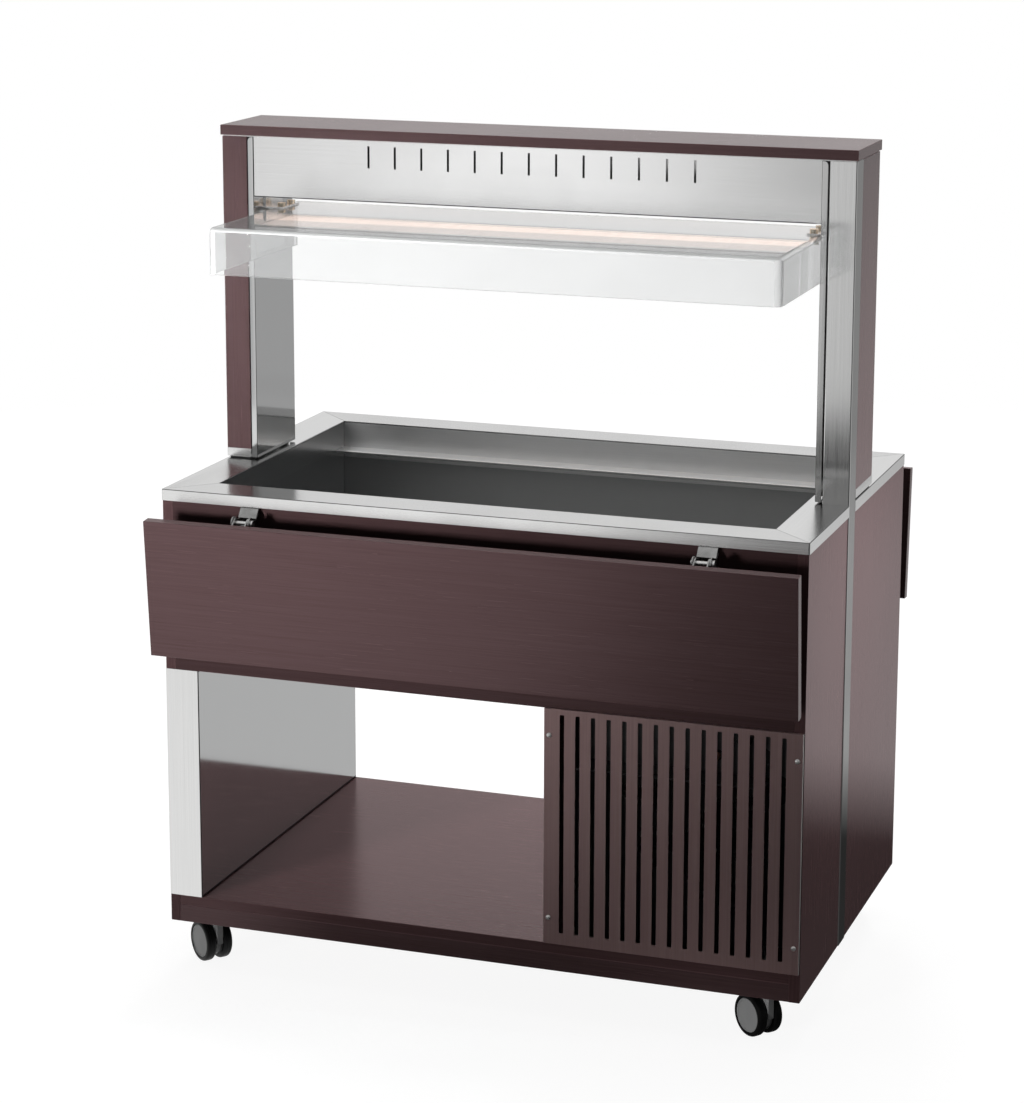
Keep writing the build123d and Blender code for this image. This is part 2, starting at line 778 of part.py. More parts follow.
rocker_pivot = grille_face
rocker_names = ("power_switch", "light_switch")
for rocker_name, rocker_x in zip(rocker_names, rocker_xs):
    rocker_place = (rocker_x - rocker_width / 2, rocker_pivot, control_z)
    with BuildPart() as rocker:
        with BuildSketch(Plane(origin=rocker_place, x_dir=(0, 1, 0), z_dir=(1, 0, 0))):
            with BuildLine():
                rocker_half = rocker_height / 2
                rocker_low = rocker_half - rocker_taper
                rocker_high = control_sheet + rocker_rise
                Polyline(
                    (-rocker_root, -rocker_low),
                    (0, -rocker_half),
                    (rocker_high, -rocker_half),
                    (rocker_high - rocker_dip, 0),
                    (rocker_high, rocker_half),
                    (0, rocker_half),
                    (-rocker_root, rocker_low),
                    close=True,
                )
            make_face()
        extrude(amount=rocker_width)
    rocker_axis = Axis(rocker_place, (1, 0, 0))
    with BuildPart() as pieces[rocker_name]:
        add(rocker.part.rotate(rocker_axis, -rocker_tilt))

with BuildPart() as thermostat_knob:
    knob_back = grille_face + control_sheet + knob_gap
    with BuildSketch(Plane.XZ.offset(-knob_back)):
        with Locations((knob_x, control_z)):
            Circle(knob_radius)
    extrude(amount=-knob_depth)
    fillet(thermostat_knob.edges().group_by(Axis.Y)[-1], knob_round)
    with BuildSketch(Plane.XZ.offset(-knob_back - knob_depth)):
        with Locations((knob_x, control_z)):
            Rectangle(sheet, 2 * knob_radius - knob_depth)
    extrude(amount=knob_gap, both=True, mode=Mode.SUBTRACT)
    with BuildSketch(Plane.XZ.offset(-knob_back)):
        with Locations((knob_x, control_z)):
            Circle(knob_shaft)
    extrude(amount=knob_gap + control_sheet + 2 * sheet)
pieces["thermostat_knob"] = thermostat_knob

# Cable gland for the mains lead, which isn't shown
with BuildPart() as cable_gland:
    with BuildSketch(Plane.XZ.offset(-grille_face)):
        with Locations((gland_x, gland_z)):
            RegularPolygon(gland_hex, 6)
    extrude(amount=-gland_hex_depth)
    with BuildSketch(Plane.XZ.offset(-grille_face - gland_hex_depth)):
        with Locations((gland_x, gland_z)):
            Circle(gland_thread + sheet)
    extrude(amount=-gland_dome_depth, taper=gland_dome_taper)
    with BuildSketch(Plane.XZ.offset(-grille_face)):
        with Locations((gland_x, gland_z)):
            Circle(gland_thread)
    extrude(amount=grille_depth)
    with BuildSketch(Plane.XZ.offset(-body_y)):
        with Locations((gland_x, gland_z)):
            Circle(gland_bore)
    extrude(amount=-grille_depth - gland_hex_depth - gland_dome_depth, mode=Mode.SUBTRACT)
pieces["cable_gland"] = cable_gland

# Posts above the counter: timber, bright plinth and inner cover on each upright
plinth_top = counter_height + plinth_height
with BuildPart() as post_wood:
    slab((upright_in, half_x - wood_recess), (upright_back, post_half), (plinth_top, post_top))

with BuildPart() as post_woods:
    add(post_wood.part)
    add(turned(post_wood.part))
pieces["post_woods"] = post_woods

with BuildPart() as post_plinth:
    foot_top = counter_height + plinth_foot
    slab((upright_in, half_x), (upright_back, post_half), (foot_top, plinth_top))
    slab(
        (upright_in + plinth_foot_inset, half_x - plinth_foot_inset),
        (upright_back + plinth_foot_inset, post_half - plinth_foot_inset),
        (counter_height, foot_top),
    )

with BuildPart() as post_plinths:
    add(post_plinth.part)
    add(turned(post_plinth.part))
pieces["post_plinths"] = post_plinths

with BuildPart() as post_cover:
    with BuildSketch(Plane.XY.offset(counter_height + cover_lift)):
        with Locations((cover_in, 0)):
            from_edge = (Align.MIN, Align.CENTER)
            Rectangle(cover_depth, post_depth, align=from_edge)
        with Locations((cover_in + sheet, 0)):
            Rectangle(cover_depth, post_depth - 2 * sheet, align=from_edge, mode=Mode.SUBTRACT)
    extrude(amount=post_top - counter_height - cover_lift)
    top_corners = post_cover.edges().filter_by(Axis.Y).group_by(Axis.X)[-1].group_by(Axis.Z)[-1]
    fillet(top_corners, cover_round)

with BuildPart() as post_covers:
    add(post_cover.part)
    add(turned(post_cover.part))
pieces["post_covers"] = post_covers

# Canopy: timber top, cap plate, slotted panels, lamp tray, lamp and its glass
with BuildPart() as top_board:
    with BuildSketch(Plane.XY.offset(board_under)):
        top_length = counter_length + 2 * canopy_overhang_x
        top_width = post_depth + 2 * canopy_overhang_y
        Rectangle(top_length, top_width)
    extrude(amount=board)
pieces["top_board"] = top_board

with BuildPart() as canopy_plate:
    with BuildSketch(Plane.XY.offset(post_top)):
        Rectangle(counter_length - 2 * cap_inset, post_depth - 2 * cap_inset + canopy_overhang_y)
    extrude(amount=cap_sheet)
pieces["canopy_plate"] = canopy_plate

panel_x = cover_in - canopy_end_gap
panel_face = post_half - canopy_setback
with BuildPart() as canopy_panel:
    slab((-panel_x, panel_x), (-panel_face, -panel_face + sheet), (canopy_bottom, post_top))
    slab(
        (-panel_x, panel_x),
        (-panel_face, -panel_face + canopy_flange),
        (canopy_bottom, canopy_bottom + sheet),
    )
    with BuildSketch(Plane.XZ.offset(panel_face)):
        with Locations((0, post_top - vent_drop)):
            with GridLocations(vent_pitch, 0, vent_count, 1):
                Rectangle(vent_width, vent_height)
    extrude(amount=-sheet, mode=Mode.SUBTRACT)

with BuildPart() as canopy_panels:
    add(canopy_panel.part)
    add(turned(canopy_panel.part))
pieces["canopy_panels"] = canopy_panels

tray_under = canopy_bottom + sheet
glass_under = tray_under + sheet
recess_roof = tray_under + lamp_recess_height
recess_end = lamp_recess_start + lamp_recess
with BuildPart() as light_tray:
    tray_edge_y = panel_face - sheet
    with BuildSketch(Plane.YZ.offset(-panel_x)):
        with BuildLine():
            Polyline(
                (-tray_edge_y, tray_under),
                (lamp_recess_start + lamp_lip, tray_under),
                (lamp_recess_start + lamp_lip, glass_under),
                (lamp_recess_start, glass_under),
                (lamp_recess_start, recess_roof),
                (recess_end, recess_roof),
                (recess_end, glass_under),
                (recess_end - lamp_lip, glass_under),
                (recess_end - lamp_lip, tray_under),
                (tray_edge_y, tray_under),
                (tray_edge_y, glass_under),
                (recess_end + sheet, glass_under),
                (recess_end + sheet, recess_roof + sheet),
                (lamp_recess_start, recess_roof + sheet),
                (lamp_recess_start, post_top - running),
                (lamp_recess_start - sheet, post_top - running),
                (lamp_recess_start - sheet, glass_under),
                (-tray_edge_y, glass_under),
                close=True,
            )
        make_face()
    extrude(amount=2 * panel_x)
pieces["light_tray"] = light_tray

lamp_y = (lamp_recess_start + recess_end) / 2
lamp_z = recess_roof - lamp_drop
lamp_left = lamp_left_gap - panel_x
lamp_right = panel_x - lamp_right_gap
with BuildPart() as lamp:
    with BuildSketch(Plane.YZ.offset(lamp_left)):
        with Locations((lamp_y, lamp_z)):
            Circle(lamp_radius)
    extrude(amount=lamp_right - lamp_left)
    holder_y = (lamp_y - lamp_holder / 2, lamp_y + lamp_holder / 2)
    holder_z = (lamp_z - lamp_holder / 2, recess_roof)
    slab((lamp_left - lamp_holder, lamp_left), holder_y, holder_z)
    slab((lamp_right, lamp_right + lamp_holder), holder_y, holder_z)
pieces["lamp"] = lamp

with BuildPart() as lamp_cover:
    glass_y = (lamp_recess_start + fit, recess_end - fit)
    slab((-panel_x + fit, panel_x - fit), glass_y, (glass_under, glass_under + lamp_glass))
pieces["lamp_cover"] = lamp_cover

# Guard: one bent clear sheet hung from two angle brackets
with BuildPart() as sneeze_guard:
    with BuildSketch(Plane.XY.offset(guard_top - guard_height)):
        with Locations((0, (guard_back - guard_front) / 2)):
            Rectangle(2 * (cover_in - guard_end_gap), guard_front + guard_back)
    extrude(amount=guard_height)
    fillet(sneeze_guard.edges().filter_by(Axis.Z).group_by(Axis.Y)[0], guard_corner)
    guard_roof = sneeze_guard.faces().sort_by(Axis.Z)[-1]
    roof_edges = [edge for edge in guard_roof.edges() if edge.center().Y < guard_back - running]
    fillet(roof_edges, guard_top_round)
    guard_floor = sneeze_guard.faces().sort_by(Axis.Z)[0]
    guard_rear = sneeze_guard.faces().sort_by(Axis.Y)[-1]
    offset(amount=-guard_sheet, openings=[guard_floor, guard_rear])
    bolt_x = cover_in - bolt_inset
    bolt_ys = (bracket_middle_y - bolt_spread / 2, bracket_middle_y + bolt_spread / 2)
    bolt_places = [(end * bolt_x, y, guard_top) for end in (-1, 1) for y in bolt_ys]
    with Locations(*bolt_places):
        Cylinder(bolt_radius + bolt_clear, 4 * guard_sheet, mode=Mode.SUBTRACT)
pieces["sneeze_guard"] = sneeze_guard

with BuildPart() as guard_brackets:
    for end in (-1, 1):
        bracket_y = (bracket_middle_y - bracket_width / 2, bracket_middle_y + bracket_width / 2)
        foot_x = sorted((end * cover_in, end * (cover_in - bracket_leg)))
        wall_x = sorted((end * cover_in, end * (cover_in - bracket_sheet)))
        slab(foot_x, bracket_y, (guard_top, guard_top + bracket_sheet))
        slab(wall_x, bracket_y, (guard_top, guard_top + bracket_rise))
    with Locations(*bolt_places):
        Cylinder(bolt_radius + bolt_clear, 4 * bracket_sheet, mode=Mode.SUBTRACT)
pieces["guard_brackets"] = guard_brackets

with BuildPart() as guard_bolts:
    bolt_seat = guard_top + bracket_sheet
    nut_seat = guard_top - guard_sheet
    with Locations(*((x, y, bolt_seat) for x, y, z in bolt_places)):
        Cylinder(bolt_head, bolt_head_height, align=drain_up)
        bolt_length = bracket_sheet + guard_sheet + 2 * nut_height
        Cylinder(bolt_radius, bolt_length, align=drain_down)
    with BuildSketch(Plane.XY.offset(nut_seat - nut_height)):
        with Locations(*((x, y) for x, y, z in bolt_places)):
            RegularPolygon(bolt_head, 6)
    extrude(amount=nut_height)
pieces["guard_bolts"] = guard_bolts

# Folding leaves: each hangs, leaning a little outward, from two clevis hinges
tilt_cos = cos(radians(leaf_tilt))
tilt_sin = sin(radians(leaf_tilt))
outward = (0, -tilt_cos, -tilt_sin)
pivot = (0, pivot_y, pivot_z)
leaf_plane = Plane(origin=pivot, x_dir=(1, 0, 0), z_dir=outward)
lug_plane = Plane(origin=pivot, x_dir=outward, z_dir=(-1, 0, 0))
leaf_back = leaf_face - leaf_thickness
with BuildPart() as leaf_front:
    with BuildSketch(leaf_plane.offset(leaf_back)):
        with Locations((0, leaf_rise - leaf_depth / 2)):
            Rectangle(counter_length, leaf_depth)
    extrude(amount=leaf_thickness)
    fillet(leaf_front.edges(), leaf_edge_round)
pieces["leaf_front"] = leaf_front

with BuildPart() as leaf_rear:
    add(turned(leaf_front.part))
pieces["leaf_rear"] = leaf_rear

lug_x = hinge_width / 2 - hinge_sheet - lug_gap
with BuildPart() as leaf_lug:
    for lug_start in (lug_x, -lug_x + hinge_sheet):
        with BuildSketch(lug_plane.offset(-lug_start)):
            Circle(lug_eye)
            with Locations((leaf_back - hinge_sheet / 2, leaf_rise - lug_foot / 2 - hinge_sheet)):
                Rectangle(hinge_sheet, lug_foot)
            make_hull()
            Circle(pin_radius + running, mode=Mode.SUBTRACT)
        extrude(amount=hinge_sheet)
    with BuildSketch(leaf_plane.offset(leaf_back - hinge_sheet)):
        with Locations((0, leaf_rise - hinge_sheet - lug_plate / 2)):
            Rectangle(2 * lug_x, lug_plate)
    extrude(amount=hinge_sheet)

with BuildPart() as leaf_lugs_front:
    for end in (-1, 1):
        add(Location((end * hinge_x, 0, 0)) * leaf_lug.part)
pieces["leaf_lugs_front"] = leaf_lugs_front

with BuildPart() as leaf_lugs_rear:
    add(turned(leaf_lugs_front.part))
pieces["leaf_lugs_rear"] = leaf_lugs_rear


def eye_point(angle):
    """Return the place on a cheek's eye at an angle from the cabinet's side."""
    turn = radians(angle)
    return (pivot_y + hinge_eye * cos(turn), pivot_z + hinge_eye * sin(turn))


# Fixed clevis: mounting web, two curved cheeks and a sloping bridge between them
web_top = counter_height - edge_height - fit
web_low = web_top - hinge_plate_height
web_face = -body_y - hinge_sheet
with BuildPart() as hinge_bracket:
    for cheek_start in (-hinge_width / 2, hinge_width / 2 - hinge_sheet):
        with BuildSketch(Plane.YZ.offset(cheek_start)):
            with BuildLine():
                eye_top = eye_point(cheek_top_angle)
                eye_low = eye_point(cheek_low_angle)
                bow = radians(cheek_bow_angle)
                bow_start = (web_face - hinge_sheet, web_top)
                Polyline((-body_y, web_low), (-body_y, web_top), bow_start)
                TangentArc(bow_start, eye_top, tangent=(cos(bow), sin(bow)))
                ThreePointArc(eye_top, (pivot_y - hinge_eye, pivot_z), eye_low)
                Polyline(eye_low, (web_face, web_low), (-body_y, web_low))
            make_face()
            with Locations((pivot_y, pivot_z)):
                Circle(pin_radius + running, mode=Mode.SUBTRACT)
        extrude(amount=hinge_sheet)
    slab((-hinge_width / 2, hinge_width / 2), (web_face, -body_y), (web_low, web_top))
    with BuildSketch(Plane.YZ.offset(-hinge_width / 2)):
        with BuildLine():
            bridge_y = web_face - hinge_bridge
            bridge_z = web_top - hinge_bridge_drop
            Polyline(
                (web_face, web_top),
                (web_face, web_top - hinge_sheet),
                (bridge_y + hinge_sheet, bridge_z),
                (bridge_y, bridge_z),
                (web_face - hinge_sheet, web_top),
                close=True,
            )
        make_face()
    extrude(amount=hinge_width)

with BuildPart() as hinge_brackets:
    for end in (-1, 1):
        placed = Location((end * hinge_x, 0, 0)) * hinge_bracket.part
        add(placed)
        add(turned(placed))
pieces["hinge_brackets"] = hinge_brackets

with BuildPart() as hinge_pin:
    with BuildSketch(Plane.YZ.offset(-hinge_width / 2 - hinge_sheet)):
        with Locations((pivot_y, pivot_z)):
            Circle(pin_radius)
    extrude(amount=hinge_width + hinge_sheet + fit)
    with BuildSketch(Plane.YZ.offset(hinge_width / 2 + fit)):
        with Locations((pivot_y, pivot_z)):
            Circle(pin_head)
    extrude(amount=pin_head_length)

with BuildPart() as hinge_pins:
    for end in (-1, 1):
        placed = Location((end * hinge_x, 0, 0)) * hinge_pin.part
        add(placed)
        add(turned(placed))
pieces["hinge_pins"] = hinge_pins

# Casters: fixed plate with swivel pin, turning housing with its axle, twin wheels
plate_under = floor_gap + caster_recess - caster_plate_sheet
swivel_low = 2 * wheel_radius + wheel_head_gap
swivel_high = plate_under - fit
with BuildPart() as caster_top:
    with BuildSketch(Plane.XY.offset(plate_under)):
        RectangleRounded(caster_plate, caster_plate, caster_plate_round)
    extrude(amount=caster_plate_sheet)
    with Locations((0, 0, plate_under)):
        Cylinder(swivel_pin, swivel_pin_length, align=drain_down)

with BuildPart() as caster_housing:
    with BuildSketch(Plane.XZ.offset(-housing_thickness / 2)):
        with Locations((trail, wheel_radius)):
            Circle(housing_radius)
        with Locations((0, (wheel_radius + swivel_low) / 2)):
            Rectangle(housing_neck, swivel_low - wheel_radius + 2 * fit)
    extrude(amount=housing_thickness)
    with BuildSketch(Plane.XY.offset(swivel_low)):
        Circle(swivel_radius)
    extrude(amount=swivel_high - swivel_low)
    with BuildSketch(Plane.XY.offset(swivel_high)):
        Circle(swivel_pin + running)
    extrude(amount=-swivel_pin_length, mode=Mode.SUBTRACT)
    axle_reach = wheel_gap / 2 + tyre_width - hub_cap
    with BuildSketch(Plane.XZ.offset(-axle_reach)):
        with Locations((trail, wheel_radius)):
            Circle(axle_radius)
    extrude(amount=2 * axle_reach)

with BuildPart() as caster_hub:
    with BuildSketch(Plane.YZ):
        with BuildLine():
            hub_in = wheel_gap / 2
            hub_out = hub_in + tyre_width
            bore_radius = axle_radius + running
            Polyline(
                (hub_in, wheel_radius + bore_radius),
                (hub_in, wheel_radius + hub_radius),
                (hub_out - hub_dish, wheel_radius + hub_radius),
                (hub_out, wheel_radius + hub_radius - 2 * hub_dish),
                (hub_out, wheel_radius),
                (hub_out - hub_cap + running, wheel_radius),
                (hub_out - hub_cap + running, wheel_radius + bore_radius),
                close=True,
            )
        make_face()
    revolve(axis=Axis((0, 0, wheel_radius), (0, 1, 0)))

with BuildPart() as caster_tyre:
    with BuildSketch(Plane.YZ) as tyre_profile:
        tyre_low = wheel_radius + hub_radius + tyre_fit
        with Locations((hub_in + tyre_width / 2, tyre_low)):
            Rectangle(tyre_width, wheel_radius - hub_radius - tyre_fit, align=(Align.CENTER, Align.MIN))
        fillet(tyre_profile.vertices().group_by(Axis.Y)[-1], tyre_round)
    revolve(axis=Axis((0, 0, wheel_radius), (0, 1, 0)))

with BuildPart() as caster_plates:
    for end, side in ((-1, -1), (1, -1), (-1, 1), (1, 1)):
        add(Location((end * caster_x, side * caster_y, 0)) * caster_top.part)
pieces["caster_plates"] = caster_plates

caster_corners = {
    "front_left": (-1, -1),
    "front_right": (1, -1),
    "rear_left": (-1, 1),
    "rear_right": (1, 1),
}
for corner, (end, side) in caster_corners.items():
    place = Location((end * caster_x, side * caster_y, 0), (0, 0, caster_yaw))
    with BuildPart() as pieces[f"caster_housing_{corner}"]:
        add(place * caster_housing.part)
    wheel_place = place * Location((trail, 0, 0))
    for wheel_piece, solid in (("hubs", caster_hub.part), ("tyres", caster_tyre.part)):
        with BuildPart() as pieces[f"caster_{wheel_piece}_{corner}"]:
            add(wheel_place * solid)
            add(wheel_place * solid.mirror(Plane.XZ))

os.makedirs("parts", exist_ok=True)
for label, piece in pieces.items():
    piece.part.label = label
    export_step(piece.part, f"parts/{label}.step")
print(len(pieces), "pieces written")
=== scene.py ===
"""Looks of a rolling buffet cart: a cooled steel well, two folding leaves, a lit canopy and a clear guard.

Metres throughout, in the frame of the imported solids: the floor is Z = 0, X runs along the counter and the
guest side faces -Y.
"""

from __future__ import annotations

import json
import logging
import math
from dataclasses import dataclass
from enum import Enum
from typing import Any, Callable, Iterable, Optional, Sequence

import bmesh
import bpy
from mathutils import Matrix, Vector

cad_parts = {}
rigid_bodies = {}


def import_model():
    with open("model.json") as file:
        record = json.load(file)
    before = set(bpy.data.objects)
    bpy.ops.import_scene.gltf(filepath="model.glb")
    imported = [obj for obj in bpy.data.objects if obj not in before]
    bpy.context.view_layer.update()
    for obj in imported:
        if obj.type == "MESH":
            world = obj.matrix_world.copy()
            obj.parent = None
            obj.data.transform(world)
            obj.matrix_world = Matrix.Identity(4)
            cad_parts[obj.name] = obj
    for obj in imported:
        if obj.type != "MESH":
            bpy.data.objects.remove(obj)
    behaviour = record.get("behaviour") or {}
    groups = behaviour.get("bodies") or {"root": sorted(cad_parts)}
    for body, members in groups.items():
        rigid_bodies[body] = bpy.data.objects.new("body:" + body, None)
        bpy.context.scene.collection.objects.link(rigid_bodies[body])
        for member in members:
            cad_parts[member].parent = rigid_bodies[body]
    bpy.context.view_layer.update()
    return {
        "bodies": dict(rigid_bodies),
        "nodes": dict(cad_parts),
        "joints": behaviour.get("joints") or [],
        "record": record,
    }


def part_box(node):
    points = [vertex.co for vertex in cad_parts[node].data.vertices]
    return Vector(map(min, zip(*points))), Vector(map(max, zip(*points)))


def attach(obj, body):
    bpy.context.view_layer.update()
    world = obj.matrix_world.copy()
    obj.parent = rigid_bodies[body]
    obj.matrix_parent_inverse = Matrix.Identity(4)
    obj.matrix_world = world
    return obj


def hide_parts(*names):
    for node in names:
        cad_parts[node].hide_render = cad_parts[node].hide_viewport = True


LOG = logging.getLogger("buffet_cart")

Colour = tuple[float, float, float]
Place = tuple[float, float, float]
Picker = Callable[[Vector], bool]
EdgePicker = Callable[[bmesh.types.BMEdge], bool]


class Run(Enum):
    """Direction in which grain or brushing runs over a piece."""

    X = (1, 0, 0)
    Y = (0, 1, 0)
    Z = (0, 0, 1)

    def stretch(self, along: float, across: float) -> tuple[float, float, float]:
        """Return how often a pattern repeats per metre on each axis.

        Args:
            along: Repeats per metre in the direction of the run.
            across: Repeats per metre on the two other axes.

        Returns:
            One factor for each axis.
        """
        return tuple(along if part else across for part in self.value)


class Face(Enum):
    """Material slots of an eased piece."""

    MAIN = 0
    EDGE = 1
    BEND = 2


# ---- shader building -------------------------------------------------------


class Desk:
    """Places and links nodes in one shader tree."""

    def __init__(self, tree: bpy.types.NodeTree) -> None:
        """Take the tree to work in."""
        self.tree = tree

    def node(self, kind: str, sockets: Optional[dict[str, Any]] = None, **settings: Any) -> bpy.types.Node:
        """Add a node.

        Args:
            kind: Blender's name for the node type.
            sockets: Values, or sockets of other nodes, for the inputs by name.
            settings: Properties of the node itself.

        Returns:
            The new node.
        """
        made = self.tree.nodes.new(kind)
        for name, value in settings.items():
            setattr(made, name, value)
        for name, value in (sockets or {}).items():
            self.feed(made.inputs[name], value)
        return made

    def feed(self, socket: bpy.types.NodeSocket, value: Any) -> None:
        """Give an input a constant or link another node's output to it."""
        if isinstance(value, bpy.types.NodeSocket):
            self.tree.links.new(value, socket)
        else:
            socket.default_value = value

    def noise(self, vector: Any, scale: float, detail: float, rough: float = 0.5) -> bpy.types.NodeSocket:
        """Return the value of a noise texture.

        Args:
            vector: Socket with the coordinates.
            scale: Size of the pattern.
            detail: Number of finer layers.
            rough: Strength of the finer layers.

        Returns:
            The texture's value from 0 to 1.
        """
        made = self.node(
            "ShaderNodeTexNoise",
            {"Vector": vector, "Scale": scale, "Detail": detail, "Roughness": rough},
        )
        return made.outputs[0]

    def remap(self, value: Any, low: float, high: float, to_low: float, to_high: float) -> bpy.types.NodeSocket:
        """Return a value moved from one range to another and kept inside it.

        Args:
            value: Socket to read.
            low: Start of the range read.
            high: End of the range read.
            to_low: Value at the start.
            to_high: Value at the end.

        Returns:
            The moved value.
        """
        made = self.node(
            "ShaderNodeMapRange",
            {"Value": value, "From Min": low, "From Max": high, "To Min": to_low, "To Max": to_high},
        )
        return made.outputs[0]

    def maths(self, operation: str, first: Any, second: Any) -> bpy.types.NodeSocket:
        """Return the result of one sum on two values."""
        made = self.node("ShaderNodeMath", operation=operation)
        self.feed(made.inputs[0], first)
        self.feed(made.inputs[1], second)
        return made.outputs[0]

    def mix(self, amount: Any, first: Any, second: Any, blend: str = "MIX") -> bpy.types.NodeSocket:
        """Return a mix of two colours.

        Args:
            amount: Share of the second colour.
            first: Colour or socket at share 0.
            second: Colour or socket at share 1.
            blend: Blender's name for the way of mixing.

        Returns:
            The mixed colour.
        """
        made = self.node("ShaderNodeMix", data_type="RGBA", blend_type=blend)
        for socket, value in ((made.inputs[0], amount), (made.inputs[6], first), (made.inputs[7], second)):
            self.feed(socket, (*value, 1.0) if isinstance(value, tuple) else value)
        return made.outputs[2]

    def stretched(self, factors: Sequence[float]) -> bpy.types.NodeSocket:
        """Return the piece's own coordinates times one factor for each axis."""
        where = self.node("ShaderNodeTexCoord").outputs["Object"]
        made = self.node("ShaderNodeVectorMath", operation="MULTIPLY")
        self.feed(made.inputs[0], where)
        made.inputs[1].default_value = factors
        return made.outputs[0]

    def bump(self, height: Any, strength: float, distance: float) -> bpy.types.NodeSocket:
        """Return a normal raised by a height.

        Args:
            height: Socket with the height.
            strength: Share of the effect.
            distance: Real height in metres of a step from 0 to 1.

        Returns:
            The normal.
        """
        made = self.node("ShaderNodeBump", {"Strength": strength, "Distance": distance, "Height": height})
        return made.outputs[0]

    def group(self, tree: bpy.types.NodeTree, vector: Any) -> bpy.types.Node:
        """Place a shared group with its own coordinates."""
        made = self.node("ShaderNodeGroup", node_tree=tree)
        self.feed(made.inputs["Vector"], vector)
        return made


class SharedEffects:
    """Shader node groups that several finishes use, each built at its first use."""

    @staticmethod
    def _open(name: str, outputs: Iterable[str]) -> tuple[Desk, Any, Any]:
        """Start a group with one vector input and value outputs.

        Args:
            name: The group's name.
            outputs: Names of its outputs.

        Returns:
            The desk, the input node's vector and the output node.
        """
        tree = bpy.data.node_groups.new(name, "ShaderNodeTree")
        tree.interface.new_socket(name="Vector", in_out="INPUT", socket_type="NodeSocketVector")
        for output in outputs:
            tree.interface.new_socket(name=output, in_out="OUTPUT", socket_type="NodeSocketFloat")
        desk = Desk(tree)
        start = desk.node("NodeGroupInput").outputs["Vector"]
        return desk, start, desk.node("NodeGroupOutput")

    @classmethod
    def straight_grain(cls) -> bpy.types.NodeTree:
        """Return the group for straight wood grain: fibre, broad band, pore and height."""
        found = bpy.data.node_groups.get("straight_grain")
        if found:
            return found
        desk, start, end = cls._open("straight_grain", ("Fibre", "Band", "Pore", "Height"))
        fibre = desk.noise(start, 1.0, 5.0, 0.62)
        band = desk.noise(start, 0.13, 2.0)
        pore = desk.remap(desk.noise(start, 2.4, 1.0), 0.6, 0.72, 0.0, 1.0)
        desk.feed(end.inputs["Fibre"], desk.remap(fibre, 0.28, 0.72, 0.0, 1.0))
        desk.feed(end.inputs["Band"], desk.remap(band, 0.3, 0.7, 0.0, 1.0))
        desk.feed(end.inputs["Pore"], pore)
        desk.feed(end.inputs["Height"], desk.maths("SUBTRACT", fibre, desk.maths("MULTIPLY", pore, 0.6)))
        return desk.tree

    @classmethod
    def brushing(cls) -> bpy.types.NodeTree:
        """Return the group for brushed metal: fine line, broad sweep and height."""
        found = bpy.data.node_groups.get("brushing")
        if found:
            return found
        desk, start, end = cls._open("brushing", ("Line", "Sweep", "Height"))
        line = desk.noise(start, 1.0, 4.0, 0.7)
        sweep = desk.noise(start, 0.09, 3.0)
        desk.feed(end.inputs["Line"], desk.remap(line, 0.3, 0.7, 0.0, 1.0))
        desk.feed(end.inputs["Sweep"], desk.remap(sweep, 0.32, 0.68, 0.0, 1.0))
        desk.feed(end.inputs["Height"], line)
        return desk.tree

    @classmethod
    def handling(cls) -> bpy.types.NodeTree:
        """Return the group for use: soft smudges and fine dust."""
        found = bpy.data.node_groups.get("handling")
        if found:
            return found
        desk, start, end = cls._open("handling", ("Smudge", "Dust"))
        smudge = desk.noise(start, 5.0, 3.0, 0.55)
        dust = desk.noise(start, 420.0, 2.0)
        desk.feed(end.inputs["Smudge"], desk.remap(smudge, 0.42, 0.68, 0.0, 1.0))
        desk.feed(end.inputs["Dust"], desk.remap(dust, 0.6, 0.78, 0.0, 1.0))
        return desk.tree

    @classmethod
    def moulded_skin(cls) -> bpy.types.NodeTree:
        """Return the group for moulded or cast skin: mottling and height."""
        found = bpy.data.node_groups.get("moulded_skin")
        if found:
            return found
        desk, start, end = cls._open("moulded_skin", ("Mottle", "Height"))
        mottle = desk.noise(start, 60.0, 3.0)
        fine = desk.noise(start, 1400.0, 2.0)
        desk.feed(end.inputs["Mottle"], desk.remap(mottle, 0.35, 0.65, 0.0, 1.0))
        desk.feed(end.inputs["Height"], fine)
        return desk.tree


# ---- finishes --------------------------------------------------------------


@dataclass(frozen=True)
class Finish:
    """A finish that makes its material once and gives it to any number of pieces."""

    name: str

    def material(self) -> bpy.types.Material:
        """Return the finish's material, made at its first use."""
        name = f"finish_{self.name}"
        found = bpy.data.materials.get(name)
        if found:
            return found
        made = bpy.data.materials.new(name)
        made.use_nodes = True
        made.node_tree.nodes.clear()
        desk = Desk(made.node_tree)
        shader = desk.node("ShaderNodeBsdfPrincipled")
        surface = self.lay(desk, shader)
        desk.node("ShaderNodeOutputMaterial", {"Surface": surface or shader.outputs[0]})
        return made

    def lay(self, desk: Desk, shader: bpy.types.Node) -> Optional[bpy.types.NodeSocket]:
        """Set up the shader.

        Args:
            desk: The material's desk.
            shader: Its main shader.

        Returns:
            The socket that goes to the output, or None for the shader itself.
        """
        raise NotImplementedError


